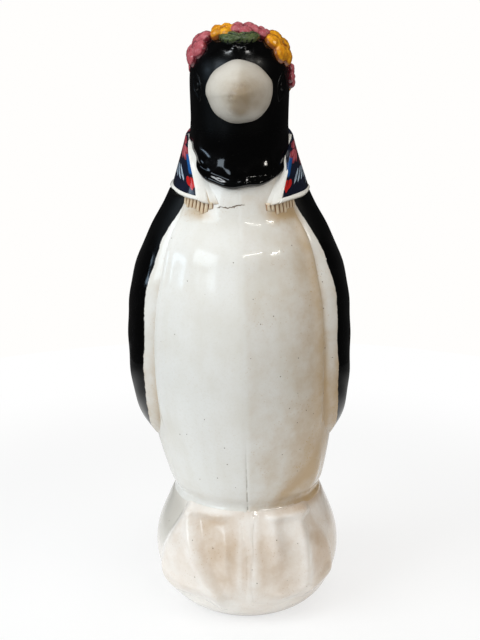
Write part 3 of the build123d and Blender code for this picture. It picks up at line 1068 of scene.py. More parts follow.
@dataclass
class Plinth:
    """Round bun that the penguin stands on, with a foot that it rests flat on."""

    rings: Sequence[Sequence[float]] = (
        (0.0, 31.5, 33.5, 0.0, 0.0),
        (6.0, 39.0, 41.9, 0.0, 0.0),
        (15.6, 44.5, 46.6, 0.0, 0.0),
        (27.6, 46.9, 47.7, 0.0, -0.8),
        (39.6, 45.4, 46.0, 0.0, -1.0),
        (50.4, 41.2, 42.0, 0.0, -0.8),
        (60.0, 37.0, 37.5, 0.0, 0.0),
    )
    vent_radius: float = 1.6
    vent_offset: float = 14.0
    pipe_heights: Sequence[float] = (7.0, 3.0, 0.0)
    lid_shares: Sequence[float] = (0.96, 0.90, 0.84, 0.5)
    lid_rises: Sequence[float] = (0.2, 0.4, 0.5, -3.0)
    lid_drop: float = 3.0
    foot_bed: float = 3.0
    columns: int = 220
    skin: Skin = field(init=False)

    def __post_init__(self) -> None:
        """Make the skin that the feet lie on."""
        self.skin = Skin(self.rings, swell=0.45, seed=4)

    def pressed(self, angle: Array, height: Array) -> Array:
        """Hollow between the feet and under them, in millimetres below the skin.

        Args:
            angle: Angle round the skin, in radians.
            height: Height in millimetres.

        Returns:
            The growth of the skin, below zero in a hollow.
        """
        middle = 0.75 * bell(angle, -0.05, 0.055) * bell(height, 30, 18)
        under = sum(Foot(self.skin, side).cover(angle, height) for side in Side)
        return -0.5 * bell(height, 60, 2.0) - middle * (1 - under) - self.foot_bed * under

    def stain(self, angle: Array, height: Array) -> Array:
        """Brown at its top, bottom and between the feet, darker on the penguin's left as painted shade
        with a warmer glaze tone; below zero, painted grey shade on its right flank beside the foot's
        lobe.

        Args:
            angle: Angle round the skin, in radians.
            height: Height in millimetres.

        Returns:
            The stain and painted shade.
        """
        across = np.sin(angle)
        stain = 0.55 * bell(height, 58.5, 3.0) * (0.35 + 0.65 * smooth_step(across, -0.2, 0.9))
        stain = stain + 0.34 * smooth_step(across, 0.30, 1.0) * bell(height, 30, 28)
        stain = stain + 0.52 * bell(angle, -0.05, 0.12) * bell(height, 33, 16)
        stain = stain + 0.35 * bell(height, 1.0, 2.5) + 0.13 * smooth_step(across, -0.6, 0.1)
        return stain - 0.75 * smooth_step(-across, 0.66, 0.90) * smooth_step(height, 24, 40)

    def make(self) -> list[bpy.types.Object]:
        """Build the bun with its vent and both feet.

        Formula: the wall is the skin, less what the feet press in. The floor runs straight
        from its foot to the hole, and the lid from its top to the middle.

        Returns:
            The bun and both feet.
        """
        angle = once_round(self.columns)
        share = downwards(130)
        height = self.skin.height_at(share)
        turned = wrapped(angle)
        wall = self.skin.point(angle, height, self.pressed(turned, height))
        # the foot is flat: its edge lies on the floor
        wall[..., 2] = np.where(share < 0.004, 0.0, wall[..., 2])
        across = self.vent_radius * np.sin(angle[0])
        back = self.vent_offset - self.vent_radius * np.cos(angle[0])
        hole = np.stack([across, back, np.zeros(self.columns)], axis=-1)
        inwards = np.linspace(0, 1, 14)[1:-1, None, None]
        foot = hole[None] + (wall[:1] - hole[None]) * inwards
        pipe = hole[None] + np.array([0.0, 0.0, 1.0]) * np.array(self.pipe_heights)[:, None, None]
        top = self.rings[-1][0]
        middle = np.array([0.0, 0.0, top - self.lid_drop])
        lid = middle + (wall[-1:] - middle) * np.array(self.lid_shares)[:, None, None]
        lid[..., 2] = top + np.array(self.lid_rises)[:, None]
        form = Form.pod(np.concatenate([pipe, foot, wall, lid]))
        stain = self.stain(turned, height)
        below = np.full((len(pipe) + len(foot), self.columns), 0.5)
        stain = np.concatenate([below, stain, np.full((len(lid), self.columns), 0.4)])
        pieces = [Piece("plinth_bun", form, BISQUE, ["plinth"], {"stain": stain}).make()]
        return pieces + [Foot(self.skin, side).make(self.stain) for side in Side]


@dataclass
class Foot:
    """Webbed foot with three toes in soft relief down the front of the plinth."""

    skin: Skin
    side: Side
    top: float = 59.6
    bottom: float = 8.0
    crest: float = 4.0
    web: float = 0.16
    depth: float = 3.4
    inner: Sequence[float] = (3.0, 1.5, 0.5, 0.5, 2.0)
    outer: Sequence[float] = (54.0, 62.0, 70.0, 72.0, 68.0)
    lobe: Sequence[float] = (43.0, 36.0, 28.0, 19.0, 13.0)

    def along(self, values: Sequence[float], height: Array) -> Array:
        """Angle in degrees that goes from its first value at the top to its last at the tip."""
        stations = np.linspace(self.top, self.bottom, len(values))[::-1]
        return np.interp(height, stations, np.array(values, float)[::-1])

    def cover(self, angle: Array, height: Array) -> Array:
        """Share from 0 at the foot's outline to 1 well inside it.

        Args:
            angle: Angle round the skin, in radians.
            height: Height in millimetres.

        Returns:
            The share.
        """
        turned = np.degrees(angle) * self.side.value + 0 * height
        inner = self.along(self.inner, height)
        outer = self.along(self.outer, height)
        wide = smooth_step(turned - inner, 2.0, 5.0) * smooth_step(outer - turned, 3.0, 9.0)
        long = smooth_step(height, self.bottom + 4, self.bottom + 9)
        return wide * long * smooth_step(self.top - height, 0.8, 3.0)

    def toes(self, angle: Array, height: Array, down: Array) -> Array:
        """Relief of the toes, from 0 in the webs to about 1 on a crest.

        The left foot has a sharp outer toe with a short one inside it. On the right foot the
        outer toes run together in a lobe, whose edge slants in towards the tip.

        Args:
            angle: Angle from the front towards the outside, in degrees.
            height: Height in millimetres.
            down: Share of the foot's length, from 0 at the belly to 1 at the tip.

        Returns:
            The relief.
        """
        rim = 0.35 * bell(angle, 3.0, 3.0)
        if self.side is Side.LEFT:
            short = 0.50 * bell(angle, 18.0, 6.0) * (1 - smooth_step(down, 0.30, 0.62))
            return rim + short + 1.10 * crest(angle, 37.0, 7.0) + 0.30 * bell(angle, 64.0, 9.0)
        edge = self.along(self.lobe, height)
        lobe = 0.80 * smooth_step(angle - edge, -5.0, 5.0) * (1 - 0.4 * smooth_step(angle, 56, 70))
        small = 0.45 * crest(angle, 13.0 + 6.0 * (0.5 - down), 3.5) * bell(height, 37, 9)
        return rim + lobe + small + 0.32 * crest(angle, edge + 4.0, 4.0)

    def make(self, around: Callable[[Array, Array], Array]) -> bpy.types.Object:
        """Build the foot.

        Formula: the rise is the crest times the web's share plus the relief of the toes, all
        times a soft step from each edge, so that the glaze runs into the plinth, less a bell
        in the hollows between the toes.

        Args:
            around: Stain and painted shade of the plinth at an angle and a height, which the foot's runs
                into.

        Returns:
            The finished piece.
        """
        across, down = sideways(90), downwards(90)
        height = self.top + (self.bottom - self.top) * down + 0 * across
        inner = self.along(self.inner, height)
        outer = self.along(self.outer, height)
        angle = inner + (outer - inner) * across
        toes = self.toes(angle, height, down)
        low_lip = bell(height, 17.0 + 0.06 * (angle - 30) ** 2 / 10, 4.0)
        lip = 0.55 * bell(down, 0.045, 0.04) * smooth_step(angle, 10, 24)
        lip = lip + 0.60 * low_lip * smooth_step(across, 0.02, 0.3)
        ends = 1 - smooth_step(down + 0.05 * np.cos(np.radians((angle - 34) * 9)), 0.78, 1.0)
        edges = smooth_step(across, 0.0, 0.30) * smooth_step(across, 1.0, 0.80)
        start = smooth_step(down, -0.02, 0.05)
        swell = (self.web + (1 - self.web) * np.minimum(toes + lip, 1.15)) * ends * edges * start
        hollow = (1 - np.minimum(toes, 1.0)) * bell(down, 0.45, 0.30) * edges
        rise = self.crest * swell - 0.30 - 1.3 * hollow
        turn = self.side.value * np.radians(angle)
        sunk = (1 - np.minimum(toes, 1.0)) * bell(down, 0.45, 0.36) * smooth_step(across, 0.0, 0.15)
        stain = 0.50 * sunk + 0.24
        if self.side is Side.LEFT:
            # painted shadow beside the sharp outer toe
            stain = stain + 0.22 * smooth_step(angle, 38.0, 44.0) * bell(down, 0.5, 0.4)
        else:
            stain = stain + 0.34 * bell(down, 0.10, 0.10) * bell(angle, 28, 12)
            stain = stain + 0.16 * bell(angle, 14, 10) * bell(down, 0.45, 0.35)
        beside = around(turn, height)
        stain = beside + (stain - beside) * self.cover(turn, height)
        name, node = f"webbed_foot_{self.side.word}", f"{self.side.word}_foot"
        form = self.skin.slab(turn, height, rise, self.depth)
        return Piece(name, form, BISQUE, [node], {"stain": stain}).make()


# Body, flippers, tail


@dataclass
class BodySkin(Skin):
    """Skin of the body with a soft keel down the front, where the two halves of clay meet."""

    keel: float = 2.15
    flats: Sequence[Sequence[float]] = ((0.52, 0.30), (-0.60, 0.26), (0.88, 0.34), (-0.92, 0.20))

    def seam_angle(self, height: Array) -> Array:
        """Angle of the front seam, in a plane that leans with the body."""
        return self.angle_of_x(-SEAM_LEAN * (np.asarray(height, float) - SEAM_FOOT), height)

    def unevenness(self, angle: Array, height: Array) -> Array:
        """Waves of the clay, the keel, and the soft flats that the modeller's tool left.

        Formula: the keel and each flat are exp(-sqrt(d^2 + e) / w), where d is the angle from
        the seam, less the flat's own place.

        Args:
            angle: Angle round the skin, in radians.
            height: Height in millimetres.

        Returns:
            How far the clay stands off the rings, in millimetres.
        """
        off = wrapped(angle - self.seam_angle(height))
        span = smooth_step(height, 58, 76) * (1 - smooth_step(height, 185, 212))
        keel = self.keel * ridge(off, 0.0009, 0.38) * span
        flats = sum(size * ridge(off - place, 0.002, 0.16) for place, size in self.flats)
        return super().unevenness(angle, height) + keel + flats * span


@dataclass
class Body:
    """Hollow body of two pressed halves, with both flippers and the tail."""

    rings: Sequence[Sequence[float]] = (
        (60.0, 37.0, 37.5, 0.0, 0.0),
        (83.9, 42.8, 42.2, -1.6, -0.95),
        (112.1, 47.2, 46.6, -3.4, -1.8),
        (142.1, 48.5, 47.5, -4.0, -2.1),
        (171.9, 45.8, 43.8, -4.0, -0.9),
        (197.9, 36.9, 34.9, -4.0, 0.0),
        (224.0, 27.4, 27.7, -4.0, 0.0),
        (250.0, 22.5, 24.0, -4.0, 0.0),
    )
    wall: float = 5.0
    overlap: float = 4.0
    skin: BodySkin = field(init=False)

    def __post_init__(self) -> None:
        """Make the skin that the applied pieces lie on."""
        self.skin = BodySkin(self.rings, swell=0.35, seed=11)

    def half(self, side: Side) -> bpy.types.Object:
        """One half of the body, from the front seam round to the back seam.

        Formula: the rise is a sum of bells and soft steps, one for each mark of the hand: the
        seam, the belly's foot, the chest, the hip, its crease and the flipper's fillet.

        Args:
            side: The penguin's own left or right.

        Returns:
            The finished piece.
        """
        across, up = sideways(150), downwards(190)
        top = self.skin.cut_height(sideways(150, 0, pi) * side.value, JOINT_LEVEL, JOINT_TILT)
        low = self.rings[0][0] - self.overlap
        height = low + (top - low) * up
        front = self.skin.seam_angle(height)
        back = side.value * pi - front
        angle = front + (back - front) * across
        wrap = wrapped(angle)
        edge = bell(across, 0, 0.006) + bell(across, 1, 0.006)
        groove = -0.22 * edge * (0.4 + 0.6 * (1 - smooth_step(height, 75, 120)))
        # the belly draws in above the plinth, then the glaze fills the angle between them
        drawn_in = 0.6 + 0.9 * (0.5 + 0.5 * np.cos(angle))
        roll = -drawn_in * bell(height, 62.4, 3.0) + 0.6 * (1 - smooth_step(height, 59.4, 61.6))
        chest = bell(height, 191, 9) - 0.3 * bell(height, 205, 6)
        chest = chest * smooth_step(np.cos(angle), 0.1, 0.8)
        hip = 1.9 * bell(wrap, 0.95, 0.15) * bell(height, 77, 12)
        hip = hip + 0.5 * bell(wrap, -1.0, 0.16) * bell(height, 78, 12)
        crease = self.hip_crease(wrap, height)
        # a fillet of glaze along the front edge of each flipper
        fillet = 1.3 * bell(np.abs(wrap), 0.925, 0.075) * smooth_step(height, 96, 108)
        fillet = fillet * (1 - smooth_step(height, 196, 208))
        rise = groove + roll + chest + hip - 0.9 * crease + fillet
        back_edge = radians(88) + radians(26) * (1 - smooth_step(height, 70, 96))
        paint = (np.abs(wrap) - back_edge) * 44.0
        paint = np.where(height < 70, paint - (70 - height) * 1.2, paint)
        stain = 0.25 * bell(height, 60, 4) * smooth_step(np.sin(angle), -0.9, 0.8)
        stain = stain + 0.75 * bell(height, 208, 4.5) * bell(np.abs(wrap), 0.66, 0.30)
        stain = stain + 0.16 * bell(height, 214, 5) * smooth_step(np.cos(angle), 0.7, 0.9)
        stain = stain + 0.10 * bell(wrap, 0.90, 0.06) * smooth_step(height, 90, 120)
        # the penguin's left, the side turned from the light, is darker and warmer, more and more towards
        # its side:
        # partly a warmer glaze tone, partly painted shade, with a step of painted shade across the keel
        warm_tone_and_shade = 0.23 * smooth_step(wrap - front, -0.01, 0.06) + 0.48 * smooth_step(wrap, 0.30, 1.0)
        warm_tone_and_shade = warm_tone_and_shade + 0.22 * smooth_step(wrap, -0.1, 0.4) * bell(height, 85, 26)
        # the hip crease is darkened with painted shade
        stain = stain + warm_tone_and_shade * (1 - 0.35 * smooth_step(height, 190, 215)) + 0.62 * crease
        name, node = f"body_half_{side.word}", f"body_{side.word}_half"
        form = self.skin.slab(angle, height, rise, self.wall)
        return Piece(name, form, TWO_TONE, [node], {"paint": paint, "stain": stain}).make()

    def hip_crease(self, angle: Array, height: Array) -> Array:
        """Slanting crease beside the left hip: a bell round angle = 0.43 + 0.022 (z - 63)."""
        return bell(angle, 0.43 + 0.022 * (height - 63), 0.15) * bell(height, 72, 9.5)

    def make(self) -> list[bpy.types.Object]:
        """Build both halves, both flippers and the tail."""
        halves = [self.half(side) for side in Side]
        return halves + [Flipper(self.skin, side).make() for side in Side] + [Tail().make()]


@dataclass
class Flipper:
    """Slab along the side: cream on its front edge, black outside, thin at the tip."""

    skin: Skin
    side: Side
    rows: Sequence[Sequence[float]] = (
        (92.7, 0.16, -0.34, -0.16),
        (99.5, 0.62, -0.46, 0.05),
        (111.3, 0.94, -0.56, 0.29),
        (136.0, 1.0, -0.60, 0.43),
        (164.5, 1.0, -0.61, 0.49),
        (193.0, 0.83, -0.62, 0.50),
        (213.6, 0.46, -0.59, 0.45),
    )
    thickness: float = 7.0
    square: float = 0.42
    front_round: float = 0.85
    sunk: float = 2.5
    shoulder_line: Sequence[tuple[float, float]] = (
        (184.0, 43.5),
        (186.3, 41.0),
        (193.8, 37.0),
        (200.6, 32.8),
        (206.0, 29.1),
        (209.1, 27.2),
        (212.0, 25.9),
    )

    def make(self) -> bpy.types.Object:
        """Build the flipper.

        Formula: from the front edge to the rear the place along each level section is
        -cos(t)^0.42 and the rise is sin(t)^0.42, a square with round corners. In the front half
        the rise is sin(t)^0.85, so that this corner is rounder.

        Returns:
            The finished piece.
        """
        table = np.array(self.rows, float)
        scaled = np.column_stack([table[:, 0] / 10, table[:, 1:]])
        dense = spline_table(scaled, 400)
        height = downwards(150, table[0, 0], table[-1, 0])
        thick, front, rear = (
            np.interp(height, dense[:, 0] * 10, dense[:, column]) for column in (1, 2, 3)
        )
        turn = sideways(70, 0, pi)
        place = -np.sign(np.cos(turn)) * np.abs(np.cos(turn)) ** self.square
        power = np.where(turn < pi / 2, self.front_round, self.square)
        lift = np.sin(turn).clip(0) ** power
        grow = -self.sunk + (thick * self.thickness + self.sunk) * lift
        share = (front + rear) / 2 + (rear - front) / 2 * place
        _, half_y, middle_x, _ = self.skin.ring(height)
        y = share * half_y
        angle = np.arccos(np.clip(-y / (half_y + grow), -1, 1))
        grow = grow + 0.35 * np.sin(height / 8.5 + 1.2) * bell(place, -1, 0.25) * lift
        ripple = 0.16 * np.sin(height / 3.1 + 4 * place)
        outer = self.skin.point(self.side.value * angle, height, grow + ripple * lift)
        inner_grow = np.full_like(grow, -self.sunk - 1.0)
        inner_angle = np.arccos(np.clip(-y / (half_y + inner_grow), -1, 1))
        inner = self.skin.point(self.side.value * inner_angle, height, inner_grow)
        # black behind the front corner, and at the shoulder outside a line that runs out to it
        set_back = 4.2 if self.side is Side.LEFT else 3.0
        corner = (y - front * half_y) - set_back - 0.3 * np.sin(height / 6.3)
        heights, lines = zip(*self.shoulder_line)
        reach = np.abs(outer[..., 0] - middle_x)
        outside = reach - np.interp(height, heights, lines)
        shoulder = np.where(height > heights[0], outside, -9.0)
        paint = np.maximum(corner, shoulder)
        stain = 0.55 * bell(lift, 0.25, 0.30) * (place < 0)
        stain = stain + 0.40 * smooth_step(lift, 0.5, 1.0) * (place < 0)
        # the penguin's left flipper is browner as painted shade on the side turned from the light
        stain = (stain + 0.45 * bell(height, 112, 26)) * (1.35 if self.side is Side.LEFT else 0.75)
        name, node = f"flipper_{self.side.word}", f"{self.side.word}_flipper"
        marks = {"paint": paint, "stain": stain}
        return Piece(name, Form.shell(outer, inner), TWO_TONE_WING, [node], marks, crease=70).make()


@dataclass
class Tail:
    """Short tapered stub low on the back."""

    root: Sequence[float] = (0.0, 37.5, 94.0)
    length: float = 36.0
    width: float = 30.0
    thickness: float = 18.0
    slope: float = 64.0

    def make(self) -> bpy.types.Object:
        """Build the tail.

        Formula: the half width is that of a round-ended cone, sqrt(1 - s^2.6), at each share s
        of the length, with shallow grooves between the feathers.

        Returns:
            The finished piece.
        """
        share = (1 - np.cos(np.linspace(0.0, pi * 0.985, 60)))[:, None] / 2
        turn = once_round(96)
        slim = np.sqrt(1 - share**2.6)
        feather = 1 - 0.035 * np.abs(np.sin(4.5 * turn)) ** 8 * smooth_step(share, 0.15, 0.6)
        way = bearing(pi, -radians(self.slope))
        x = self.width / 2 * slim * feather * np.sin(turn)
        y = self.thickness / 2 * slim * feather * np.cos(turn)
        form = Form.stub(self.root, way, share * self.length, x, y)
        return Piece("tail_stub", form, BLACK, ["tail"]).make()


# Head, beak and eyes


@dataclass
class HeadSkin(Skin):
    """Skin of the head, with beads of glaze that ran together under the wreath."""

    def unevenness(self, angle: Array, height: Array) -> Array:
        """Waves of the clay and the beads: a product of sines inside a band below the wreath.

        Args:
            angle: Angle round the skin, in radians.
            height: Height in millimetres.

        Returns:
            How far the clay stands off the rings, in millimetres.
        """
        off = wrapped(angle)
        band = bell(height, 285.2, 1.8) * bell(off, 0.0, 0.75)
        beads = np.abs(np.sin(9 * off + 0.5 * np.sin(7 * off)))
        beads = beads * (0.7 + 0.3 * np.sin(height * 1.9 + 5 * off))
        return super().unevenness(angle, height) + 0.9 * band * beads


@dataclass
class Head:
    """Black head and neck, which end in front in a thick rounded bib, with beak and eyes."""

    rings: Sequence[Sequence[float]] = (
        (212.0, 28.0, 31.5, -4.0, 0.0),
        (227.7, 24.8, 28.0, -4.0, 0.0),
        (245.0, 23.4, 26.4, -4.0, 0.0),
        (261.5, 23.8, 25.4, -4.0, 0.0),
        (274.0, 23.3, 24.7, -4.0, 0.0),
        (283.0, 20.0, 21.2, -4.0, 0.0),
        (288.5, 13.5, 14.3, -4.0, 0.0),
        (290.5, 3.0, 3.3, -4.0, 0.0),
    )
    core: Sequence[float] = (-4.0, 0.0, 262.0)
    columns: int = 220
    lip_share: float = 0.075
    eye_half: Sequence[float] = (8.0, 4.0)
    eye_azimuth: float = 55.0
    eye_elevation: float = 9.0
    eye_slant: float = 70.0
    skin: HeadSkin = field(init=False)

    def __post_init__(self) -> None:
        """Make the skin that the eyes and the wreath lie on."""
        self.skin = HeadSkin(self.rings, swell=0.25, seed=7)

    def make(self) -> list[bpy.types.Object]:
        """Build the head, the beak and both eyes.

        Formula: the rise is a quarter circle at the head's foot, a bell above that, and sine
        waves round it.

        Returns:
            The head, the beak and both eyes.
        """
        angle = once_round(self.columns)
        foot = self.skin.cut_height(angle, JOINT_LEVEL, JOINT_TILT)
        foot = foot + 0.5 * np.sin(5 * angle + 0.6) + 0.35 * np.sin(11 * angle)
        start = self.skin.share_at(foot)
        lip = downwards(26) ** 1.7 * self.lip_share
        run = np.concatenate([lip, downwards(120, self.lip_share, 0.9985)[1:]])
        height = self.skin.height_at(start + (1 - start) * run)
        above = height - foot
        # thick rounded edge: a quarter circle over the first millimetres, drawn in at its foot
        edge = 1.6 * rounded(above / 1.8) * (1 - smooth_step(above, 1.8, 5.2))
        edge = edge - 0.35 * (1 - smooth_step(above, 0.0, 1.7))
        bulge = 1.1 * bell(above, 6.5, 4.8) * smooth_step(np.cos(angle), -0.2, 0.6)
        lumps = 0.30 * np.sin(9 * angle + 0.35 * above) + 0.16 * np.sin(19 * angle - 0.5 * above + 1.3)
        outer = self.skin.point(angle, height, edge + bulge + lumps * bell(above, 5.0, 6.0))
        under = self.skin.point(angle, foot + 0.2, -5.5)
        form = Form.pod(np.concatenate([under, outer]))
        head = Piece("head_and_neck", form, BLACK, ["head"], crease=60).make()
        return [head, Beak().make()] + [self.eye(side) for side in Side]

    def patch(
        self, azimuth: float, elevation: float, turn: float, x: Array, y: Array, rise: Array | float
    ) -> Array:
        """Points of a small piece that lies on the head.

        Formula: each point of the flat plan is seen from the core; where that line leaves the
        head, the point stands off by its rise.

        Args:
            azimuth: Where the middle is, from the front towards the penguin's left, in degrees.
            elevation: The same, upwards from the core.
            turn: How far the plan is turned in the surface, in degrees.
            x: Plan coordinate across, in millimetres.
            y: Plan coordinate upwards.
            rise: How far the point stands off the head.

        Returns:
            Points in millimetres.
        """
        az, el, spin = radians(azimuth), radians(elevation), radians(turn)
        way = bearing(az, el)
        across = np.array([-way[1], way[0], 0.0])
        across = across / np.linalg.norm(across)
        upward = np.cross(way, across)
        right = across * np.cos(spin) + upward * np.sin(spin)
        over = upward * np.cos(spin) - across * np.sin(spin)
        core = np.array(self.core)
        middle = core + way * float(self.skin.cast(core, way[None])[0])
        plan = middle + x[..., None] * right + y[..., None] * over - core
        ways = plan / np.linalg.norm(plan, axis=-1, keepdims=True)
        return core + ways * (self.skin.cast(core, ways) + rise)[..., None]

    def applied(
        self,
        spot: Sequence[float],
        x: Array,
        y: Array,
        rise: Array,
        base_share: float = 0.95,
        depth: float = 1.2,
    ) -> Form:
        """Small piece of clay pressed on to the head.

        Args:
            spot: Azimuth, elevation and turn of its middle, in degrees.
            x: Plan coordinate across, in millimetres.
            y: Plan coordinate upwards.
            rise: How far its outside stands off the head.
            base_share: Size of its hidden side, as a share of the outside's.
            depth: How far its hidden side is sunk into the head.

        Returns:
            The closed form.
        """
        top = self.patch(*spot, x, y, rise)
        base = self.patch(*spot, x * base_share, y * base_share, -depth)
        return Form.pod(np.concatenate([top, base[::-1]]))

    def eye(self, side: Side) -> bpy.types.Object:
        """Almond lid in low relief with a raised pupil.

        Formula: the outline is x = L cos(t), y = W sin(t)|sin(t)|; the rise is a rounded step
        from the outline inwards, with a second one for the pupil.

        Args:
            side: The penguin's own left or right.

        Returns:
            The finished piece.
        """
        turn, share = once_round(90), downwards(30, 0.04)
        length, width = self.eye_half
        x = length * share * np.cos(turn)
        y = width * share * np.sin(turn) * np.abs(np.sin(turn))
        radius = np.hypot(x, y)
        lid = 0.70 * np.sqrt(np.clip(1 - share**4, 0, 1)) - 0.40 * (1 - smooth_step(share, 0.50, 0.80))
        rise = lid + 0.55 * (1 - smooth_step(radius, 1.5, 2.3)) - 0.05
        spot = side.value * self.eye_azimuth, self.eye_elevation, side.value * self.eye_slant
        form = self.applied(spot, x, y, rise, base_share=1.0)
        return Piece(f"eye_{side.word}", form, BLACK, [f"{side.word}_eye"]).make()


@dataclass
class Beak:
    """Stout blunt cone with a keel on top and a mouth line, seen end on from the front."""

    root: Sequence[float] = (-4.0, -19.0, 264.0)
    half_width: float = 15.8
    half_height: float = 15.0
    length: float = 27.0
    tilt: float = 5.0

    def make(self) -> bpy.types.Object:
        """Build the beak.

        Formula: at each share s of the length the radius is that of a blunt cone,
        (1 - s^2.1)^0.62. Round the axis it carries a soft keel above and below, wide facets,
        and a groove on both sides where the jaws meet.

        Returns:
            The finished piece.
        """
        buried, bare = downwards(8, -0.3, 0.0), np.sin(downwards(90, 0.02, pi / 2 * 0.985))
        share = np.concatenate([buried, bare])
        turn = once_round(200)
        over = np.clip(share, 0, 1)
        slim = (1 - over**2.1) ** 0.62
        down = np.arctan2(np.sin(turn), -np.cos(turn))
        top = wrapped(turn)
        keel = 0.050 * ridge(top, 0.01, 0.40) + 0.030 * ridge(down, 0.01, 0.5)
        facets = 0.010 * np.cos(5 * turn + 0.5) + 0.007 * np.cos(9 * turn + 1.4)
        mouth = 0.010 * bell(np.abs(top), pi / 2 + 0.16, 0.05) * smooth_step(over, 0.45, 0.85)
        step = 0.018 * smooth_step(np.abs(top), pi / 2 + 0.05, pi / 2 + 0.3)
        rim = 0.02 * bell(over, 0.10, 0.035) * smooth_step(np.sin(turn), -0.3, 0.3)
        wide = slim * (1 + keel * (0.5 + over) + facets - mouth - step - rim) - 0.012
        x = self.half_width * wide * np.sin(turn)
        z = self.half_height * wide * np.cos(turn)
        form = Form.stub(self.root, bearing(0, radians(self.tilt)), share * self.length, x, z)
        # browner on the penguin's left flank, down the middle and towards the tip: partly glaze tone,
        # partly painted shade; lighter on top and much lighter underneath as painted light
        tone = 0.16 + 0.26 * smooth_step(x, -2.0, 3.0) * (0.55 + 0.45 * over)
        tone = tone + 0.60 * bell(x, -0.5, 3.8) * (1 - smooth_step(z, -1.0, 8.0))
        tone = tone + 0.30 * smooth_step(over, 0.55, 1.0)
        tone = tone - 0.25 * smooth_step(np.cos(turn), 0.55, 1.0) * (1 - over)
        tone = tone - 0.95 * (1 - smooth_step(z, -14.0, -6.0))
        smudge = bell(x, -3.0, 2.6) * (bell(z, -1.0, 2.4) + 0.5 * bell(z, -8.0, 2.6))
        smudge = smudge + bell(x, 1.0, 4.5) * bell(z, 4.0, 2.5) * 0.5
        # below zero where the beak is cream, above it where the head's black laps over the root
        rim = -share * self.length - 0.6 + 0.9 * bell(turn, pi + 0.32, 0.045)
        marks = {"tone": tone, "smudge": smudge, "rim": rim}
        return Piece("beak_cone", form, CREAM, ["beak"], marks).make()


# Shawl


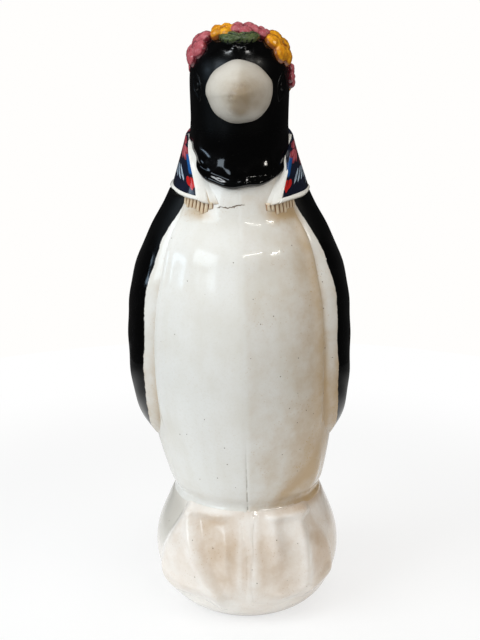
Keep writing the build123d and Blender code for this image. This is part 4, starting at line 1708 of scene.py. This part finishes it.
@dataclass
class Shawl:
    """Painted cloth round the shoulders with white lapels and hem, and a fringe of tassels."""

    body: Skin
    rings: Sequence[Sequence[float]] = (
        (197.9, 38.7, 36.7, -4.0, 0.0),
        (224.0, 30.6, 30.9, -4.0, 0.0),
        (250.0, 24.3, 25.8, -4.0, 0.0),
        (262.0, 23.2, 24.6, -4.0, 0.0),
    )
    middle: float = -4.0
    hem_bottom: float = 212.3
    hem_top: float = 215.0
    collar_level: float = 241.3
    collar_tilt: float = 11.0
    outer_half: Sequence[float] = (18.8, 26.2)
    inner_half: Sequence[float] = (10.6, 26.0)
    inner_half_left: Sequence[float] = (12.0, 25.1)
    lapel_height: float = 28.0
    fringe_height: float = 5.5
    fringe_radius: float = 33.0
    tassel_pitch: float = 2.5
    girth: float = 160.0
    slope_length: float = 30.0
    columns: int = 260
    settling: int = 16
    skin: Skin = field(init=False)

    def __post_init__(self) -> None:
        """Make the skin of the cloth."""
        self.skin = Skin(self.rings, swell=0.25, seed=21)

    def edge(self, half: Sequence[float], height: Array) -> Array:
        """Half opening at a height: straight from the hem to the neck."""
        return half[0] + (half[1] - half[0]) * (height - self.hem_bottom) / self.lapel_height

    def side_angle(self, half: Sequence[float], height: Array) -> Array:
        """Angle on the penguin's left at which the front opening ends."""
        return self.skin.angle_of_x(self.middle + self.edge(half, height), height)

    def hem_lift(self, angle: Array) -> Array:
        """How far the hem rises at the sides: 2.2 sin(a)^2 - 0.8 sin(a) millimetres."""
        return 2.2 * np.sin(angle) ** 2 - 0.8 * np.sin(angle)

    def round_the_back(self, bottom: float, rows: int, top: float | None) -> tuple[Array, Array]:
        """Angles and heights from the left lapel round the back to the right one.

        Args:
            bottom: Height of the lower edge.
            rows: How many points upwards.
            top: Height of the upper edge, or none where the collar's slope ends it.

        Returns:
            Angle and height grids.
        """
        up, share = downwards(rows), sideways(self.columns)
        height = bottom + up * 20.0 + 0 * share
        angle = pi + 0 * height
        # heights and angles depend on each other, so they are settled in turns
        for _ in range(self.settling):
            start = self.side_angle(self.outer_half, height)
            angle = start + (2 * pi - 2 * start) * share
            end = self.skin.cut_height(angle, self.collar_level, self.collar_tilt) if top is None else top
            low = bottom + self.hem_lift(angle)
            high = end + (0.0 if top is None else self.hem_lift(angle))
            height = low + up * (high - low)
        return angle, height

    def cloth(self) -> bpy.types.Object:
        """Painted cloth from one lapel to the other.

        Formula: the rise is even but for slow sine folds that fade upwards, and ends in a
        quarter circle at the collar and at both lapels.

        Returns:
            The finished piece.
        """
        angle, height = self.round_the_back(self.hem_top - 0.4, 60, None)
        up, share = downwards(60), sideways(self.columns)
        turn = np.minimum(share, 1 - share) * self.girth
        collar, front = rounded((1 - up) * self.slope_length / 2.0), rounded(turn / 1.2)
        folds = 0.35 * np.sin(5 * angle + 0.06 * height) * (1 - up)
        rise = -1.6 + 1.6 * collar * (0.6 + 0.4 * front) + folds
        half_x, half_y, _, _ = self.skin.ring(height)
        radius = (half_x + half_y) / 2
        start = self.side_angle(self.outer_half, height)
        aside = np.minimum(angle - start, 2 * pi - start - angle) * radius
        chart = aside, (height - self.hem_top - self.hem_lift(angle)) * 1.04
        form = self.skin.slab(angle, height, rise, 4.2)
        return Piece("shawl_painted_cloth", form, FLORAL, ["shawl_cloth"], chart=chart).make()

    def hem(self) -> bpy.types.Object:
        """White hem below the cloth, round as a cord on its outside.

        Formula: across its height the rise is the root of half a sine wave.

        Returns:
            The finished piece.
        """
        angle, height = self.round_the_back(self.hem_bottom, 22, self.hem_top)
        up = downwards(22)
        wave = 0.3 * np.sin(13 * angle) + 0.2 * np.sin(29 * angle + 1)
        height = height + 0.25 * np.sin(9 * angle + 0.7) * (1 - up)
        rise = -2.2 + 3.0 * np.sin(pi * downwards(22, 0.06, 0.94)) ** 0.5 + 0.12 * wave
        # darker at the foot of the hem, and on the penguin's left as painted shade on the side turned
        # from the light
        stain = 0.30 * (1 - smooth_step(up, 0.0, 0.45)) + 0.22 * smooth_step(np.sin(angle), 0.1, 0.9)
        form = self.skin.slab(angle, height, rise, 4.6)
        return Piece("shawl_white_hem", form, BORDER, ["shawl_hem"], {"stain": stain}).make()

    def lapel(self, side: Side) -> bpy.types.Object:
        """White strip between the cloth and the front opening.

        Formula: the rise is a soft step from the inner edge to the outer one, and ends in a
        quarter circle at the strip's foot and top.

        Args:
            side: The penguin's own left or right.

        Returns:
            The finished piece.
        """
        up, share = downwards(70), sideways(40)
        height = self.hem_bottom + up * 20.0 + 0 * share
        angle = 0 * height
        for _ in range(self.settling):
            inner_x = self.edge(self.inner_half, height)
            if side is Side.LEFT:
                bow = np.sin(pi / 2 * (height - self.hem_bottom) / self.lapel_height)
                low_x, high_x = self.inner_half_left
                inner_x = low_x + (high_x - low_x) * bow
            outer_x = self.edge(self.outer_half, height) + 0.5
            inner_x = np.minimum(inner_x, outer_x - 0.7)
            x = self.middle + inner_x + (outer_x - inner_x) * share
            angle = self.skin.angle_of_x(x, height)
            end = self.skin.cut_height(angle, self.collar_level, self.collar_tilt)
            low = self.hem_bottom + self.hem_lift(side.value * angle)
            height = low + up * (end - low)
        foot, top = (rounded(part * self.slope_length / 1.6) for part in (up, 1 - up))
        folded = 1.0 if side is Side.RIGHT else 0.25
        fold = -0.6 * folded * bell(share, 0.42, 0.05) * (1 - smooth_step(up, 0.08, 0.30))
        # it slopes from the cloth at its outer edge down into the body at its inner edge
        slope = -0.5 + 3.4 * smooth_step(share, 0.0, 0.95)
        slope = slope + 0.7 * folded * (1 - smooth_step(up, 0.05, 0.25))
        rise = -3.1 + slope * np.minimum(foot, top) + fold
        height = height - 0.8 * (1 - up) ** 6 * np.sin(share * pi)
        # a painted shadow line at the lapel's foot; a brown line at its inner edge and along the fold
        stain = 0.5 * bell(up, 0.0, 0.10) + 0.15 * bell(share, 0.0, 0.2)
        stain = stain + 0.7 * folded * bell(share, 0.42, 0.04) * (1 - smooth_step(up, 0.15, 0.35))
        name, node = f"lapel_{side.word}", f"{side.word}_lapel"
        form = self.skin.slab(side.value * angle, height, rise, 4.9)
        return Piece(name, form, BORDER, [node], {"stain": stain}).make()

    def fringe(self, place: str, start: float, end: float, seed: int) -> bpy.types.Object:
        """Band of tassels under the hem, between two angles.

        Formula: across each tassel the rise goes with (1 - (2t - 1)^2)^0.4, and every tassel has
        a length of its own.

        Args:
            place: Left, right or back, as the piece and its node are named.
            start: First angle in degrees.
            end: Last angle in degrees.
            seed: Start of the chance that sets the tassels' lengths.

        Returns:
            The finished piece.
        """
        count = int(round(radians(end - start) * self.fringe_radius / self.tassel_pitch))
        share, down = sideways(count * 14 + 1), downwards(26)
        chance = np.random.default_rng(seed)
        tassel = np.minimum((share * count).astype(int), count - 1)
        within = share * count - tassel
        reach = chance.uniform(0.72, 1.12, count)[tassel]
        if end < 90:
            from_lapel = share if start > 0 else 1 - share
            reach = reach * (0.55 + 0.45 * smooth_step(from_lapel, 0.0, 0.30))
        lean = chance.uniform(-0.25, 0.25, count)[tassel] * down
        leant = share + lean / count * (1 - np.abs(2 * within - 1))
        angle = np.radians(start + (end - start) * leant)
        height = self.hem_bottom + self.hem_lift(angle) + 0.5
        height = height - down * (self.fringe_height * reach + 0.5)
        round_top = np.sqrt(np.clip(1 - (2 * within - 1) ** 2, 0, 1))
        tip = np.sqrt(np.clip(1 - down**4, 0, 1))
        knot = bell(down, 0.16, 0.10)
        rise = -0.5 + (1.45 * round_top**0.8 + 0.30 * knot + 0.25) * tip * (1 - 0.35 * down)
        form = self.body.slab(angle, height, rise, 2.0)
        stain = 1.35 * (1 - smooth_step(round_top, 0.35, 0.92)) * smooth_step(down, 0.0, 0.2) + 0.12
        name, node = f"fringe_tassels_{place}", f"fringe_{place}"
        return Piece(name, form, FRINGE, [node], {"stain": stain}, crease=80).make()

    def make(self) -> list[bpy.types.Object]:
        """Build the cloth, the hem, both lapels and the three bands of fringe.

        Returns:
            All pieces of the shawl.
        """
        pieces = [self.cloth(), self.hem()] + [self.lapel(side) for side in Side]
        bands = ("left", 23, 56, 31), ("right", -56, -23, 32), ("back", 116, 244, 33)
        return pieces + [self.fringe(*band) for band in bands]


# Wreath


class Bloom(Enum):
    """Kinds of flower; the value is the glaze."""

    PINK = PINK
    YELLOW = YELLOW


@dataclass
class Wreath:
    """Flowers and leaves of clay, pressed on round the top of the head."""

    head: Head
    radius: float = 7.8
    height: float = 4.8
    petals: int = 5
    crown: float = 50.0
    low_share: float = 0.72
    leaf_half: Sequence[float] = (7.0, 4.0)
    leaf_height: float = 2.8
    flowers: Sequence[tuple[str, Bloom, float, float, float]] = (
        ("flower_pink_top", Bloom.PINK, 16.0, 75.0, 0.94),
        ("flower_yellow_left", Bloom.YELLOW, 71.0, 46.0, 1.30),
        ("flower_pink_right", Bloom.PINK, -76.0, 45.0, 1.28),
        ("flower_yellow_right", Bloom.YELLOW, -42.0, 69.0, 0.88),
        ("flower_pink_small", Bloom.PINK, 50.0, 66.0, 0.62),
        ("flower_pink_left_low", Bloom.PINK, 92.0, 15.0, 0.78),
        ("flower_pink_right_low", Bloom.PINK, -124.0, 23.0, 0.95),
        ("flower_yellow_back_left", Bloom.YELLOW, 122.0, 3.0, 0.92),
        ("flower_yellow_back_right", Bloom.YELLOW, -149.0, 8.0, 0.95),
        ("flower_pink_back_left", Bloom.PINK, 145.0, -3.0, 0.92),
        ("flower_pink_back_right", Bloom.PINK, -174.0, -1.0, 0.95),
        ("flower_yellow_back", Bloom.YELLOW, 166.0, -5.0, 0.80),
    )
    leaves: Sequence[tuple[str, float, float, float]] = (
        ("leaf_front_left", 15.0, 61.0, 8.0),
        ("leaf_front_right", -16.0, 60.5, -12.0),
        ("leaf_back_left", 128.0, 28.0, -14.0),
        ("leaf_back_right", -152.0, 32.0, 16.0),
    )

    def flower(
        self, name: str, bloom: Bloom, azimuth: float, elevation: float, size: float
    ) -> bpy.types.Object:
        """Flower of five puffed petals round a button.

        Formula: each petal is a dome sqrt(1 - d^2 / q^2) over a disc of radius q whose middle
        is c from the flower's; the domes are joined by the sixth root of the sum of their
        sixth powers. The outline is that of the discs.

        Args:
            name: Name of its node.
            bloom: Kind of flower.
            azimuth: Where it sits, from the front towards the penguin's left, in degrees.
            elevation: The same, upwards from the head's core.
            size: Share of the usual flower's size.

        Returns:
            The finished piece.
        """
        chance = np.random.default_rng(len(name) * 7 + int(abs(azimuth)))
        radius = self.radius * size
        # below the crown they are pressed flatter
        high = self.height * size**0.5 * (self.low_share if elevation < self.crown else 1.0)
        turn, share = once_round(160), np.sin(downwards(44, 0.05, pi / 2))
        middles = (np.arange(self.petals) + chance.uniform(0, 1)) * 2 * pi / self.petals
        middles = middles + chance.uniform(-0.09, 0.09, self.petals)
        out, disc = 0.57 * radius, 0.44 * radius
        reach = np.zeros_like(turn)
        for middle in middles:
            off = wrapped(turn - middle)
            half = np.sqrt(np.clip(disc**2 - (out * np.sin(off)) ** 2, 0, None))
            reach = np.maximum(reach, np.where(np.cos(off) > 0, out * np.cos(off) + half, 0))
        reach = np.maximum(reach, 0.72 * radius)
        x = share * reach * np.cos(turn)
        y = share * reach * np.sin(turn)
        domes = np.zeros_like(x)
        for middle in middles:
            gap = np.hypot(x - out * np.cos(middle), y - out * np.sin(middle)) / disc
            domes = domes + np.clip(1 - gap**2, 0, None) ** 3
        button = np.clip(1 - (np.hypot(x, y) / (0.30 * radius)) ** 2, 0, None)
        knobs = np.sin(x * 2.3 + chance.uniform(0, 6)) * np.sin(y * 2.1 + chance.uniform(0, 6))
        fall = np.sqrt(np.clip(1 - share**4, 0, 1))
        rise = high * (0.30 * fall + 0.62 * domes ** (1 / 6) + 0.22 * button**0.5) + 0.16 * knobs * fall
        rise = np.where(share > 0.999, 0.0, rise)
        # dark between the petals and round the outline: painted shade in the creases
        stain = 1 - smooth_step(domes ** (1 / 6), 0.25, 0.75) - 0.4 * button
        stain = np.concatenate([stain.clip(0, 1), np.ones_like(x)])
        form = self.head.applied((azimuth, elevation, 0), x, y, rise, 0.96, 1.5)
        return Piece(f"{name}_petals", form, bloom.value, [name], {"stain": stain}, crease=75).make()

    def leaf(self, name: str, azimuth: float, elevation: float, spin: float) -> bpy.types.Object:
        """Pointed leaf with a domed back and a vein pressed in along its middle.

        Formula: the outline is x = L cos(t), y = W sin(t)|sin(t)|^0.6; the rise is
        (1 - s^3.2)^0.55 at each share s from the middle out, less the veins.

        Args:
            name: Name of its node.
            azimuth: Where it sits, from the front towards the penguin's left, in degrees.
            elevation: The same, upwards from the head's core.
            spin: How far it is turned on the head, in degrees.

        Returns:
            The finished piece.
        """
        turn, share = once_round(120), np.sin(downwards(34, 0.05, pi / 2))
        length, width = self.leaf_half
        x = length * share * np.cos(turn)
        y = width * share * np.sin(turn) * np.abs(np.sin(turn)) ** 0.6
        vein = bell(y, 0.25 * np.sin(x * 0.5), 0.38)
        vein = vein + 0.6 * bell(np.mod(np.abs(y) * 0.9 + x, 2.6), 1.3, 0.3)
        rise = self.leaf_height * (1 - share**3.2) ** 0.55 - 0.5 * vein * (1 - share**4)
        stain = (0.75 * vein + 0.6 * smooth_step(share, 0.72, 1.0)).clip(0, 1)
        stain = np.concatenate([stain, np.ones_like(x)])
        form = self.head.applied((azimuth, elevation, spin), x, y, rise)
        return Piece(f"{name}_blade", form, GREEN, [name], {"stain": stain}, crease=75).make()

    def make(self) -> list[bpy.types.Object]:
        """Build every flower and leaf."""
        return [self.flower(*row) for row in self.flowers] + [self.leaf(*row) for row in self.leaves]


# Studio


@dataclass(frozen=True)
class Lamp:
    """Soft area lamp, placed round the figurine by angles and aimed at it."""

    name: str
    azimuth: float
    elevation: float
    distance: float
    width: float
    height: float
    watts: float
    tint: Colour = (1.0, 1.0, 1.0)
    mirrored: bool = True

    def make(self, aim: Sequence[float]) -> None:
        """Hang the lamp and turn it to a point in metres.

        Args:
            aim: The point, in metres.
        """
        data = bpy.data.lights.new(self.name, "AREA")
        data.shape = "RECTANGLE"
        data.size, data.size_y = self.width, self.height
        data.energy = self.watts
        data.color = self.tint
        thing = stand(self.name, data)
        thing.visible_glossy = self.mirrored
        az, el = radians(self.azimuth), radians(self.elevation)
        thing.location = np.array(aim) + bearing(az, el) * self.distance
        thing.rotation_euler = (pi / 2 - el, 0.0, az)


@dataclass
class Studio:
    """Pale floor, plain soft light, and the camera at the photograph's viewing angle."""

    aim: Sequence[float] = (0.0, 0.0, 0.16)
    lamps: Sequence[Lamp] = (
        Lamp("soft_left", -58, 30, 1.30, 0.90, 0.90, 10.3, (0.93, 0.975, 1.0), False),
        Lamp("soft_right", 62, 22, 1.40, 0.70, 0.70, 2.2, (1.0, 0.90, 0.76), False),
        Lamp("top_cloud", 0, 80, 1.20, 0.80, 0.80, 2.6, (1.0, 0.99, 0.97), False),
        Lamp("back_left", -140, 25, 1.40, 0.60, 0.60, 2.6, (1.0, 1.0, 1.0), False),
        Lamp("back_right", 140, 25, 1.40, 0.60, 0.60, 2.6, (1.0, 1.0, 1.0), False),
        Lamp("window", -48, 23, 1.30, 0.56, 0.34, 2.0, (0.74, 0.88, 1.0)),
        Lamp("side_window", -80, 12, 1.30, 0.34, 0.12, 0.5, (0.60, 0.80, 1.0)),
        Lamp("ceiling_tube", 52, 29, 1.35, 0.24, 0.03, 0.8, (1.0, 0.96, 0.88)),
        Lamp("ceiling_spot", 22, 35, 1.35, 0.60, 0.012, 0.8, (1.0, 0.97, 0.92)),
        Lamp("top_spot", 8, 76, 1.20, 0.24, 0.24, 0.7, (1.0, 0.99, 0.97)),
        Lamp("sky_left", -44, 56, 1.25, 0.20, 0.12, 0.8, (0.92, 0.97, 1.0)),
        Lamp("sky_right", 30, 58, 1.25, 0.20, 0.08, 0.6, (1.0, 0.98, 0.95)),
    )
    camera_place: Sequence[float] = (-0.00375, -0.720, 0.370)
    camera_pitch: float = 17.216
    focal_pixels: float = 1506.9
    rows: int = 640
    sensor: float = 36.0
    floor_radius: float = 0.42
    floor_rings: int = 12
    floor_points: int = 96
    room: float = 0.36
    mirrored_room: float = 0.02

    def floor(self) -> None:
        """Round pale floor that keeps the shadow and runs out into the white of the room.

        Formula: even rings out to the floor's radius, each of the same count of points.
        """
        turn = once_round(self.floor_points)[0]
        rim = np.stack([np.sin(turn), -np.cos(turn), 0 * turn], axis=1) * self.floor_radius
        rings = np.linspace(0.02, 1.0, self.floor_rings)[:, None, None] * rim[None]
        index = np.arange(rings[..., 0].size).reshape(rings.shape[:2])
        faces = Form.grid(index, True)
        centre = np.full(self.floor_points, index.size)
        fans = np.stack([index[0], np.roll(index[0], -1), centre], axis=1)
        mesh = bpy.data.meshes.new("studio_floor")
        points = np.concatenate([rings.reshape(-1, 3), np.zeros((1, 3))])
        mesh.from_pydata(points.tolist(), [], faces[:, ::-1].tolist() + fans.tolist())
        thing = stand("studio_floor", mesh)
        dress = Dress("studio_paper")
        x, y, _ = dress.axes(dress.place)
        away = (x * x + y * y) ** 0.5
        shown = away.step(0.06, 0.8 * self.floor_radius) * 0.30 + 0.70
        seen = dress.seen()
        near = away.step(0.26, 0.06)
        mirrored = dress.light_path("Is Glossy Ray") * (near * 0.45)
        far = away.step(0.10, 0.9 * self.floor_radius)
        grey = dress.mix(far, (0.86, 0.86, 0.85), (0.05, 0.05, 0.05))
        paper = dress.add("ShaderNodeBsdfDiffuse", {}, {"Color": grey})
        white = dress.add("ShaderNodeEmission", {}, {"Color": (1.0, 1.0, 1.0), "Strength": 1.0})
        share = (seen * shown + mirrored).under(1.0)
        both = dress.add("ShaderNodeMixShader", {}, {0: share, 1: paper, 2: white})
        dress.end("ShaderNodeOutputMaterial", both)
        mesh.materials.append(dress.material)

    def world(self) -> None:
        """Plain room: white to the camera, softer where it lights, dim where it is mirrored."""
        world = bpy.data.worlds.new("studio_room")
        world.use_nodes = True
        dress = Dress("studio_room", world.node_tree)
        seen = dress.seen()
        glossy = dress.light_path("Is Glossy Ray")
        light = seen + (1.0 - seen) * (glossy * (self.mirrored_room - self.room) + self.room)
        room = dress.add("ShaderNodeBackground", {}, {"Color": (1.0, 0.99, 0.975), "Strength": light})
        dress.end("ShaderNodeOutputWorld", room)
        bpy.context.scene.world = world

    def camera(self) -> None:
        """Camera in front and above, its field of view as high as the photograph's."""
        data = bpy.data.cameras.new("camera")
        data.sensor_fit = "VERTICAL"
        data.sensor_height = self.sensor
        data.lens = self.sensor * self.focal_pixels / self.rows
        thing = stand("camera", data)
        thing.location = self.camera_place
        thing.rotation_euler = (pi / 2 - radians(self.camera_pitch), 0.0, 0.0)
        bpy.context.scene.camera = thing

    def make(self) -> None:
        """Set up floor, world, lamps and camera."""
        self.floor()
        self.world()
        for lamp in self.lamps:
            lamp.make(self.aim)
        self.camera()
        bpy.context.scene.view_settings.view_transform = "Standard"


def main() -> None:
    """Build every sub-assembly in order and report the pieces."""
    logging.basicConfig(level=logging.INFO, format="%(name)s %(message)s")
    plinth = Plinth()
    body = Body()
    head = Head()
    shawl = Shawl(body.skin)
    wreath = Wreath(head)
    for part in (plinth, body, head, shawl, wreath):
        made = part.make()
        LOG.info("%s: %d pieces", type(part).__name__, len(made))
    Studio().make()


if __name__ == "__main__":
    main()
